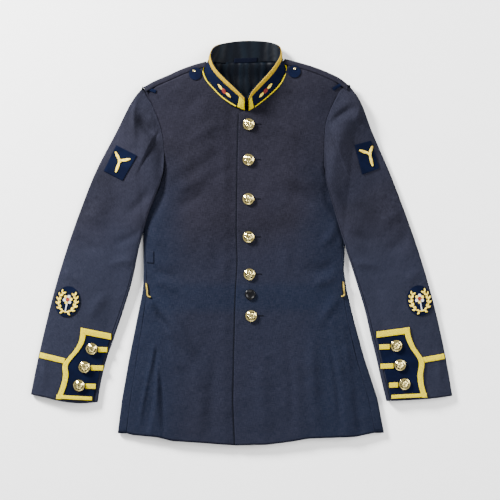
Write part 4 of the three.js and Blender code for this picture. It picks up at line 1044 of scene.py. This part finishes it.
def wool_paint(name, dark, mid, light, blue, low, band):
    p = Paint(name)
    across, along = p.cloth()
    tone = p.noise(9.0, 3.0, 0.55)
    beside = p.node("ShaderNodeVectorMath", dict(operation="ADD"), [p.spot(), (0.7, 0.3, 0.1)])
    haze = p.noise(4.2, 2.0, 0.5, beside)
    warp = p.noise(1.0, 2.0, 0.6, p.place(across * 1.15, along * 0.1, 0.0))
    weft = p.noise(1.0, 2.0, 0.6, p.place(across * 0.09, along * 1.05, 4.0))
    nap = p.noise(760.0, 3.0, 0.65)
    colour = p.blend(tone.ramp(0.32, 0.68), dark, mid)
    colour = p.blend(haze.ramp(0.42, 0.7) * 0.55, colour, blue)
    side, level = p.axis(p.spot(), 0), p.axis(p.spot(), 1)
    colour = p.blend(level.ramp(0.06, -0.06) * 0.75, colour, low)
    colour = p.blend(level.ramp(0.17, 0.35) * 0.55, colour, dark)
    waist = (level + 0.106).size().ramp(0.04, 0.012)
    colour = p.blend(waist * haze.ramp(0.3, 0.5) * band, colour, blue)
    # Painted shade: the body's lower sides, where the cloth turns down over the side folds, are blended
    # towards the darker blue
    colour = p.blend(side.size().ramp(0.09, 0.18) * level.ramp(0.2, 0.04) * band, colour, blue)
    threads = (warp + weft + nap) * 0.333
    colour = p.blend(threads.ramp(0.4, 0.62) * 0.45, colour, light)
    colour = p.blend(threads.ramp(0.52, 0.36) * 0.35, colour, (0.004, 0.005, 0.01, 1))
    soft = p.noise(26.0, 3.0, 0.5)
    broad = p.noise(11.0, 2.0, 0.5)
    first = p.bump(soft * 0.6 + broad, 0.55, 0.009)
    return p.set(
        Base_Color=colour, Roughness=(nap * 0.12 + 0.82), Specular_IOR_Level=0.04,
        Normal=p.bump(threads, 0.6, 0.0008, first),
    )


def braid_paint(name, pale, deep, shade):
    p = Paint(name)
    across, along = p.cloth()
    rows = ((along + across.size() * 0.9) * (math.tau / 2.2)).wave()
    threads = ((along * 0.55 - across.size() * 1.1) * (math.tau / 0.9)).wave()
    worn = p.noise(220.0, 3.0, 0.6)
    colour = p.blend(rows.ramp(-0.8, 0.7), deep, pale)
    colour = p.blend(worn.ramp(0.56, 0.75) * 0.5, colour, shade)
    rib = across.size().ramp(4.3, 5.0)
    return p.set(
        Base_Color=colour, Roughness=(worn * 0.25 + 0.36), Specular_IOR_Level=0.03,
        Normal=p.bump(rows + threads * 0.35 - rib, 0.55, 0.0006),
    )


def plain_paint(name, a, b, rough, metal=0.0, grain=900.0, depth=0.0002, patch=30.0, shine=0.06):
    p = Paint(name)
    fine = p.noise(grain, 2.0, 0.6)
    colour = p.blend(p.noise(patch, 3.0, 0.6).ramp(0.35, 0.65), a, b)
    return p.set(
        Base_Color=colour, Roughness=fine * 0.14 + (rough - 0.07), Metallic=metal,
        Specular_IOR_Level=shine, Normal=p.bump(fine, 0.5, depth),
    )


def satin_paint():
    p = Paint("satin lining")
    across, along = p.cloth()
    pulls_and_sheen = (across * 0.42 + p.noise(40.0, 2.0, 0.5) * 5).wave() * 0.5 + (across * 0.17 + 1).wave() * 0.5
    # Painted sheen: the lining is lighter along the ridges of its pulls
    colour = p.blend(pulls_and_sheen.ramp(-0.6, 0.9), (0.0002, 0.0008, 0.0024, 1), (0.0012, 0.003, 0.006, 1))
    relief = p.bump(pulls_and_sheen, 0.5, 0.0012)
    return p.set(Base_Color=colour, Roughness=0.5, Specular_IOR_Level=0.08, Normal=relief)


THREADS = dict(grain=1400.0, depth=0.0004, patch=260.0)
POLISHED = dict(grain=300.0, depth=0.00005, patch=60.0)
METAL = dict(grain=500.0, depth=0.00005, patch=160.0)
WOOL = wool_paint(
    "blue-grey wool", tint(16, 15, 21), tint(23, 22, 30), tint(41, 41, 52), tint(11, 19, 34),
    tint(20, 23, 35), 0.75,
)
# Painted light: the sleeves get a lighter copy of the body's wool, without its waist band and side shade
SLEEVE_WOOL_PAINTED_LIGHTER = wool_paint(
    "sleeve wool, painted lighter", tint(18, 18, 25), tint(25, 25, 34), tint(44, 45, 57), tint(18, 23, 38),
    tint(25, 28, 40), 0.0,
)
NAVY = plain_paint("navy facing cloth", (0.0005, 0.0018, 0.0095, 1), (0.001, 0.003, 0.014, 1), 0.9)
SHADED_NAVY = plain_paint(
    "navy cloth in the shade", (0.0002, 0.0007, 0.0035, 1), (0.0003, 0.001, 0.005, 1), 0.9
)
SATIN = satin_paint()
# Dark brass for the button relief: tarnish, and painted shade on the relief's steep faces
TARNISH_AND_SHADE = plain_paint("tarnish and painted shade in the relief", tint(48, 42, 26), tint(24, 21, 14), 0.35, 0.8, **METAL)
RED = plain_paint("red thread", (0.2, 0.035, 0.025, 1), (0.1, 0.014, 0.012, 1), 0.6, **THREADS)
PALE = plain_paint("pale thread", (0.62, 0.64, 0.68, 1), (0.34, 0.36, 0.42, 1), 0.5, **THREADS)
# Dark slit colour for the buttonholes; it also paints the shadow along the front opening
SLIT_AND_EDGE_SHADOW = plain_paint("worked slit and painted edge shadow", tint(6, 7, 13), tint(10, 12, 20), 0.9)
GOLD = braid_paint("gold lace", (0.78, 0.64, 0.0, 1), (0.4, 0.29, 0.0, 1), (0.34, 0.23, 0.0, 1))
DULL_GOLD = braid_paint(
    "aged gold lace", (0.52, 0.34, 0.015, 1), (0.14, 0.085, 0.004, 1), (0.06, 0.035, 0.002, 1)
)
THREAD = plain_paint("gold embroidery", (0.95, 0.74, 0.08, 1), (0.5, 0.32, 0.02, 1), 0.5, **THREADS)
BRASS = plain_paint("pale brass", tint(240, 222, 150), tint(206, 188, 118), 0.14, 1.0, **METAL)
BLACK = plain_paint(
    "black horn", (0.0008, 0.0008, 0.0012, 1), (0.002, 0.002, 0.003, 1), 0.3, shine=0.22, **POLISHED
)
GILT = plain_paint("gilt hook", (0.5, 0.36, 0.06, 1), (0.2, 0.14, 0.03, 1), 0.4, 0.7, **POLISHED)


# Cloth pieces
FRONT_OF = {"left": "right", "right": "left"}
back_piece = back()
fronts = {side: front(side, "front_" + FRONT_OF[side]) for side in SIGN}
tops, unders = {}, {}
for side in SIGN:
    unders[side] = sleeve_half(side, "under", "under_sleeve_" + FRONT_OF[side])
    tops[side] = sleeve_half(side, "top", "top_sleeve_" + FRONT_OF[side])

# Collar
stand = collar_band("collar_stand", NAVY, (0, 1), (0, 1), 0, COLLAR_T, (120, 14))
lining = collar_band(
    "collar_lining", SATIN, (0, 1), (0.02, 0.985), -COLLAR_T - GAP, LINING_T, (120, 14),
    upright=True,
)
collar_band("collar_braid", DULL_GOLD, (0, 1), (0.77, 1), TRIM_OUT, STITCHES, (120, 4), bulge=0.3)
for k, span in enumerate([(0, 0.042), (0.958, 1)]):
    collar_band(
        f"collar_braid_end_{k + 1}", GOLD, span, (0.02, 0.9), TRIM_OUT + 0.12, STITCHES, (6, 18),
        [], bulge=0.2, upright=True,
    )


def on_body(x, y, lift):
    return Vector((x, y, body_top(x, y) + lift))


def tube(name, material, line, radius, count, sides=10):
    """A round cord along a line of places."""

    def at(u, v):
        p = line(v)
        run = (line(min(1, v + 0.01)) - line(max(0, v - 0.01))).normalized()
        side = run.cross(Vector((0, 0, 1))).normalized()
        up = side.cross(run)
        a = u * math.tau
        r = radius * (1 + 0.1 * math.sin(v * count * 2.6 + a))
        return p + (side * math.cos(a) + up * math.sin(a)) * r

    mesh = sheet_of(steps(sides), steps(count), at, lambda u, v: (u * 6, v * 180))
    bmesh.ops.remove_doubles(mesh, verts=mesh.verts, dist=0.01 * MM)
    bmesh.ops.holes_fill(mesh, edges=mesh.edges)
    bmesh.ops.recalc_face_normals(mesh, faces=mesh.faces)
    return finish_piece(mesh, name, material)


def leaf(v):
    return 6.4 if abs(v - 0.5) < 0.1 else 1.0 + 5.4 * math.sin(math.pi * clamp(min(v, 1 - v) / 0.4))


for name, start, end in (("right", 0.048, 0.37), ("left", 0.952, 0.63)):

    def on_cord(v, start=start, end=end):
        return collar_point(mix(start, end, v), 0.055, 2.3)

    tube(f"collar_cord_{name}", GOLD, on_cord, CORD_R, 150)
for name, at, way in (("right", 0.128, 1), ("left", 0.868, -1)):

    def on_collar(x, y, lift, at=at):
        return collar_point(at + x / COLLAR_ROUND, 0.4 + y / 40, lift)

    def on_knot(u, v, on_collar=on_collar):
        x, y = u * 2 - 1, v * 2 - 1
        return on_collar(5.2 * x * math.sqrt(1 - 0.8 * y**2), 4.4 * y, TRIM_OUT + 0.7)

    path = [(-17 * way, -1.5), (0, 0), (17 * way, 1.5)]
    strip(
        f"collar_badge_{name}", THREAD, on_collar, path, leaf, TRIM_OUT, 36, 4, 1.2, crown=0.5
    )
    mesh = sheet_of(steps(8), steps(8), on_knot)
    face_up(mesh)
    finish_piece(mesh, f"collar_knot_{name}", RED, [], 1.2, bevel=SOFT_EDGE)
inside = -COLLAR_T - GAP - LINING_T - GAP
collar_band("hanger_loop", SHADED_NAVY, (0.4715, 0.535), (0.04, 0.24), inside, LINING_T, (16, 6))


def lining_at(u, v):
    y = mix(190, 355, v)
    x = 6 + mix(-66, 66, u) * mix(1, 0.9, smooth(335, 355, y))
    up = 5 * smooth(322, 352, y) + 6 * smooth(38, 66, abs(x - 6)) * smooth(325, 352, y)
    return Vector((x, y, CLOTH + GAP + 1.15 + up + 0.8 * math.sin(x * 0.16) * smooth(345, 250, y)))


mesh = sheet_of(steps(24), steps(30), lining_at)
back_lining = finish_piece(mesh, "back_lining", SATIN, None, LINING_T)

# Pieces on the fronts
for side in SIGN:
    name = FRONT_OF[side]
    mesh = oval(on_body, *EYELET[side], EYELET_PATCH_R, EYELET_PATCH_R, 0, ON_BODY)
    finish_piece(mesh, f"eyelet_patch_{name}", NAVY, None, TRIM, bevel=SOFT_EDGE)
    strip(f"strap_loop_{name}", NAVY, on_body, STRAP_LOOP[side], STRAP_W, ON_BODY, 10)
mesh = between(on_body, [(-187, -38), (-187.5, -14.5)], [(-172.6, -39), (-172.6, -15.5)], ON_BODY, 8, 6)
finish_piece(mesh, "waist_tab", WOOL, None, TRIM, bevel=SOFT_EDGE)


# Painted shadow along the front opening: a dark strip on the lap, beside the edge of the top front
def on_lap(x, y, lift):
    return Vector((x, y, body_top(x, y) - LAP_STEP + lift))


levels = (250, 215, 181, 100, 25, -37, -99, -170, -240, -310, hem_y(-14) + 1)
edge_path = [(edge_x(y) - 0.9, y) for y in levels]
strip(
    "front_edge_painted_shadow", SLIT_AND_EDGE_SHADOW, on_lap, edge_path, lambda v: 1.9 + 1.5 * v, 1.5, 160, 2, 1.0,
    nodes=[], crown=0.1, bevel=0,
)

# Buttonholes: short worked slits beside the buttons
for i, (x, y, *_) in enumerate(BUTTONS):
    path = [(x + 12.5, y), (x + 18, y + 0.6), (x + 24, y + 0.4)]
    strip(
        f"buttonhole_{i + 1}", SLIT_AND_EDGE_SHADOW, on_body, path, 1.9, 0.75, 10, 2, 0.9, nodes=[],
        crown=0.2, bevel=0.2,
    )

# Buttons: a shank disc, a rolled rim and a domed face with a plain eight-petal rosette
DOME = [
    (0, 0), (0.62, 0), (0.9, 0.1), (0.985, 0.2), (1, 0.28), (0.975, 0.36), (0.92, 0.4), (0.87, 0.385),
    (0.82, 0.4), (0.74, 0.45), (0.64, 0.5), (0.52, 0.54), (0.4, 0.57), (0.28, 0.59), (0.16, 0.6),
    (0.06, 0.605), (0, 0.606),
]
DISH = [
    (0, 0), (0.7, 0), (0.95, 0.08), (1, 0.2), (0.97, 0.32), (0.86, 0.38), (0.74, 0.34), (0.62, 0.25),
    (0.4, 0.21), (0.2, 0.2), (0, 0.2),
]


def rosette(mesh, radius):
    """Raises the petals on a button's face; what is steep gets the second material."""
    for vert in mesh.verts:
        x, y = vert.co.x / MM / radius, vert.co.y / MM / radius
        r, a = math.hypot(x, y), math.atan2(y, x)
        if vert.co.z / MM / radius > 0.39 and r < 0.84:
            petal = abs(math.cos(4 * a)) ** 0.6 * smooth(0.12, 0.26, r) * smooth(0.74, 0.5, r)
            seed = smooth(0.16, 0.08, r)
            vert.co.z += (0.085 * petal + 0.09 * seed) * radius * MM
    mesh.normal_update()
    # Painted shade and tarnish: the steep faces of the relief get the dark brass
    for face in mesh.faces:
        middle = face.calc_center_median()
        out = middle.to_2d().length / MM / radius
        if face.normal.z < 0.82 and out < 0.86 and middle.z > 0.37 * radius * MM:
            face.material_index = 1


def button_at(node, material, profile, radius, turn=0.0, tilt=(0.0, 0.0), turns=48):
    mesh = turned(profile, radius, turns)
    if profile is DOME:
        rosette(mesh, radius)
    low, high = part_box(node)
    for angle, axis in ((turn, "Z"), (tilt[0], "X"), (tilt[1], "Y")):
        if angle:
            bmesh.ops.rotate(mesh, verts=mesh.verts, cent=(0, 0, 0), matrix=Matrix.Rotation(angle, 3, axis))
    base = min(v.co.z for v in mesh.verts)
    spot = Vector(((low.x + high.x) / 2, (low.y + high.y) / 2, low.z - base))
    bmesh.ops.translate(mesh, verts=mesh.verts, vec=spot)
    knob = finish_piece(mesh, node, material)
    if profile is DOME:
        knob.data.materials.append(TARNISH_AND_SHADE)


for i, (_, _, *tilt) in enumerate(BUTTONS):
    button_at(f"front_button_{i + 1}", BRASS, DOME, BUTTON_R, 0.35 * i, tilt)
button_at("spare_button", BLACK, DISH, SPARE_R)
for side in SIGN:
    button_at(f"eyelet_{FRONT_OF[side]}", BRASS, DISH, EYELET_R, turns=20)

# Belt hooks
HOOKS = {"right": (-187, -78.5, -183.4, -103.5, 5.6, 2.6), "left": (199.6, -76, 201, -102.5, -5.6, 2)}
for name, (x0, y0, x1, y1, curl, lift) in HOOKS.items():
    middle = max(body_top(x0, y0), body_top(x1, y1)) + lift + 0.3
    bend = x1 + curl
    spots = [
        on_body(x0, y0, lift), Vector(((x0 + x1) / 2, (y0 + y1) / 2, middle)), on_body(x1, y1, lift + 0.1),
        on_body(bend, y1 - 2.4, lift + 0.3),
    ]

    def on_hook(v, spots=spots, xy=line_of(spots)):
        p = xy(v)
        k = clamp(v) * (len(spots) - 1)
        i = min(len(spots) - 2, int(k))
        return Vector((p.x, p.y, mix(spots[i].z, spots[i + 1].z, smooth(0, 1, k - i))))

    tube(f"belt_hook_{name}", GILT, on_hook, HOOK_R, 30, 12)

# Seam turnings under the armhole seams
for side in SIGN:
    s = sleeves[side]

    def under_seam(x, y, lift, s=s):
        w, v = s.find(x, y)
        return Vector((x, y, min(body_top(x, y), s.top_at(w, max(v, 0.004)).z) + lift))

    arm = line_of(ARMHOLE[side])
    path = [arm(mix(0.025, 1, t)) for t in steps(7)]
    strip(
        f"seam_turning_{FRONT_OF[side]}", WOOL, under_seam, path, 8, -2.0, 60, 3, 0.8, nodes=[],
        bevel=0,
    )

# Pieces on the sleeves
# Leaves on half a wreath: x, y and the way they point
LEAVES = [
    (5, -20, -0.1), (11.5, -15.5, 0.75), (16, -8, 1.2), (17.3, 0, 1.5), (16, 8, 1.8), (12.5, 14.5, 2.1),
]
EMBROIDERED = ON_SLEEVE + 0.5 + STITCHES
LACED = ON_SLEEVE + 0.45 + STITCHES


def embroidery(name, on, path, width, lift, count, across=2, material=THREAD, nodes=(), crown=0.4):
    strip(name, material, on, path, width, lift, count, across, STITCHES, nodes, crown)


def turned_by(angle):
    return flat(math.cos(angle), math.sin(angle))


def blade(v):
    return 1.8 + 3.9 * math.sin(math.pi * clamp(v * 0.85 + 0.06))


def petal(v):
    return 0.7 + 2.9 * math.sin(math.pi * clamp(v, 0, 0.97))


for side in SIGN:
    s, name, on = sleeves[side], FRONT_OF[side], sleeves[side].upon
    a, b, c, d = RANK[side]["corners"]
    mesh = between(on, [a, d], [b, c], ON_SLEEVE, 24, 18)
    finish_piece(mesh, f"rank_patch_{name}", NAVY, None, TRIM, bevel=SOFT_EDGE)
    hub = RANK[side]["hub"]
    for k, tip in enumerate(RANK[side]["tips"]):
        path = [hub, (mix(hub[0], tip[0], 0.5), mix(hub[1], tip[1], 0.5)), tip]
        embroidery(
            f"rank_blade_{name}_{k + 1}", on, path, blade, EMBROIDERED, 22, 3,
            nodes=[f"rank_device_{name}"] if k == 0 else [], crown=0.5,
        )
    mesh = oval(on, *hub, 3.8, 3.8, 0, EMBROIDERED + 0.5)
    finish_piece(mesh, f"rank_hub_{name}", THREAD, [], 1.4, bevel=0.4)

    bx, by, lean = CUFF_BADGE[side]
    mesh = oval(on, bx, by, 25, 30, lean, ON_SLEEVE, 24)
    finish_piece(mesh, f"cuff_badge_{name}", NAVY, None, TRIM, bevel=SOFT_EDGE)

    def spot(x, y, bx=bx, by=by, c=math.cos(lean), k=math.sin(lean)):
        return bx + x * c - y * k, by + x * k + y * c

    for n, w in enumerate((1, -1)):
        path = [spot(0, -21), spot(9 * w, -18), spot(16 * w, -8), spot(17 * w, 4), spot(12 * w, 15)]
        embroidery(
            f"cuff_branch_{name}_{n + 1}", on, path, lambda v: 2.6 - 1.2 * v, EMBROIDERED, 40,
            nodes=[f"cuff_wreath_{name}"] if n == 0 else [],
        )
        for m, (x, y, lean) in enumerate(LEAVES):
            for half in (-1, 1):
                way = turned_by(lean + half * LEAF_SPREAD)
                tip = Vector((x, y)) + way * LEAF
                middle = (Vector((x, y)) + tip) / 2 + flat(-way.y, way.x) * LEAF_BOW * half
                path = [spot(p[0] * w, p[1]) for p in ((x, y), middle, tip)]
                leaf_name = f"cuff_leaf_{name}_{n + 1}_{m + 1}_{half + 2}"
                embroidery(leaf_name, on, path, petal, EMBROIDERED + 0.2, 8)
    path = [spot(0, -20), spot(0, -12), spot(0, -3)]
    embroidery(f"cuff_stem_{name}", on, path, 2.6, EMBROIDERED + 0.02, 10, material=PALE, crown=0.3)
    for m in range(6):
        out = turned_by(m * math.pi / 3 + 0.3) * 6.4
        mesh = oval(on, *spot(out.x, 4 + out.y), 3.1, 3.1, 0, EMBROIDERED + 0.3, 8)
        thread = PALE if m % 2 else THREAD
        finish_piece(mesh, f"cuff_petal_{name}_{m + 1}", thread, [], STITCHES, bevel=0.4)
    mesh = oval(on, *spot(0, 4), 3.9, 3.9, 0, EMBROIDERED + 0.6, 8)
    finish_piece(mesh, f"cuff_bloom_{name}", RED, [], 1.3, bevel=0.4)

    rows = CUFF_PANEL[side]
    mesh = between(on, [row[:2] for row in rows], [row[2:] for row in rows], ON_SLEEVE, 60, 30)
    finish_piece(mesh, f"cuff_panel_{name}", NAVY, None, TRIM, bevel=SOFT_EDGE)

    def inward(w):
        out = []
        for i, (x, y, seam_x0, seam_y0) in enumerate(rows):
            share = w / math.hypot(seam_x0 - x, seam_y0 - y)
            drop = 0.5 if i == 0 else 0
            out.append((mix(x, seam_x0, share), mix(y, seam_y0, share) - drop))
        return out

    def ahead(row, dy):
        x, y, seam_x0, seam_y0 = row
        return [(mix(x, seam_x0, q), mix(y, seam_y0, q) + dy) for q in (0.02, 0.35, 0.7, 0.985)]

    borders = [
        ("side", inward(0.2), inward(BRAID_W), 60, 0),
        ("top", ahead(rows[0], -0.6), ahead(rows[0], -BRAID_W - 2), 24, 0.15),
        ("end", ahead(rows[-1], 1), ahead(rows[-1], 8.4), 24, 0.15),
    ]
    for part, edge_a, edge_b, count, more in borders:
        mesh = between(on, edge_a, edge_b, LACED + more, count, 6, 0.25)
        nodes = [f"cuff_border_{name}"] if part == "side" else []
        finish_piece(mesh, f"cuff_border_{name}_{part}", GOLD, nodes, STITCHES, bevel=0.25)
    band = CUFF_BAND[side]
    strip(f"cuff_band_{name}", GOLD, on, band, BRAID_W, 0.75 + STITCHES, 24, 3, STITCHES)
    for i, (x, y, end) in enumerate(CUFF_BUTTONS[side]):
        x += s.sign * (CUFF_BUTTON_R + 1)
        path = [(x, y - 2), (mix(x, end, 0.5), y - 2.2), (end, y - 2.6)]
        strip(f"cuff_loop_{name}_{i + 1}", GOLD, on, path, 10, LACED, 16, 3, STITCHES)
        button_at(f"cuff_button_{name}_{i + 1}", BRASS, DOME, CUFF_BUTTON_R, 0.4 * i, turns=40)

# Floor, light and camera
floor_mesh = bmesh.new()
bmesh.ops.create_grid(floor_mesh, x_segments=1, y_segments=1, size=6)
floor_data = bpy.data.meshes.new("floor")
floor_mesh.to_mesh(floor_data)
floor_mesh.free()
pale = plain_paint("white floor", (0.97, 0.97, 0.97, 1), (0.98, 0.98, 0.98, 1), 0.9, depth=0.00001)
floor_data.materials.append(pale)
floor = bpy.data.objects.new("floor", floor_data)
floor.location.z = -0.001
bpy.context.scene.collection.objects.link(floor)


def lamp(name, place, size, power):
    """A square-cornered lamp that looks at the origin."""
    data = bpy.data.lights.new(name, "AREA")
    data.shape = "RECTANGLE"
    data.size, data.size_y = size
    data.energy = power
    light = bpy.data.objects.new(name, data)
    light.location = place
    light.rotation_mode = "QUATERNION"
    light.rotation_quaternion = (-Vector(place)).to_track_quat("-Z", "Y")
    bpy.context.scene.collection.objects.link(light)


lamp("key", (-1.9, 1.8, 1.35), (0.7, 0.7), 420)
lamp("fill", (2.0, 0.6, 2.0), (1.6, 1.6), 100)
lamp("foot", (0.2, -2.2, 2.2), (1.8, 1.0), 34)

world = bpy.data.worlds.new("studio")
bpy.context.scene.world = world
world.use_nodes = True
sky = world.node_tree.nodes["Background"]
sky.inputs["Color"].default_value = (1, 1, 1, 1)
sky.inputs["Strength"].default_value = 0.55

# Straight down; the view is VIEW_WIDTH metres wide at TO_CLOTH metres from the camera
SENSOR = 36
VIEW_WIDTH = 0.975
TO_CLOTH = 2.475
camera_data = bpy.data.cameras.new("camera")
camera_data.sensor_width = SENSOR
camera_data.lens = SENSOR * TO_CLOTH / VIEW_WIDTH
camera = bpy.data.objects.new("camera", camera_data)
camera.location = (0.0166, -0.01365, 2.5)
bpy.context.scene.collection.objects.link(camera)
bpy.context.scene.camera = camera

# Cloth as it was cut: width and length in metres, and the area of the cut
CUTS = [
    (back_piece, (0.575, 0.8), 0.331, ["floor"]),
    (fronts["left"], (0.272, 0.745), 0.154, [back_piece]),
    (fronts["right"], (0.285, 0.75), 0.15, [back_piece]),
    (unders["left"], (0.17, 0.61), 0.0656, ["floor"]),
    (unders["right"], (0.17, 0.61), 0.0646, ["floor"]),
    (tops["left"], (0.2, 0.65), 0.0873, [unders["left"]]),
    (tops["right"], (0.2, 0.65), 0.0871, [unders["right"]]),
    (stand, (0.4, 0.046), 0.0143, [back_piece, *fronts.values()]),
    (lining, (0.385, 0.043), 0.0134, [stand]),
    (back_lining, (0.135, 0.17), 0.0218, [back_piece]),
]
for piece, cut, area, below in CUTS:
    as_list(below)
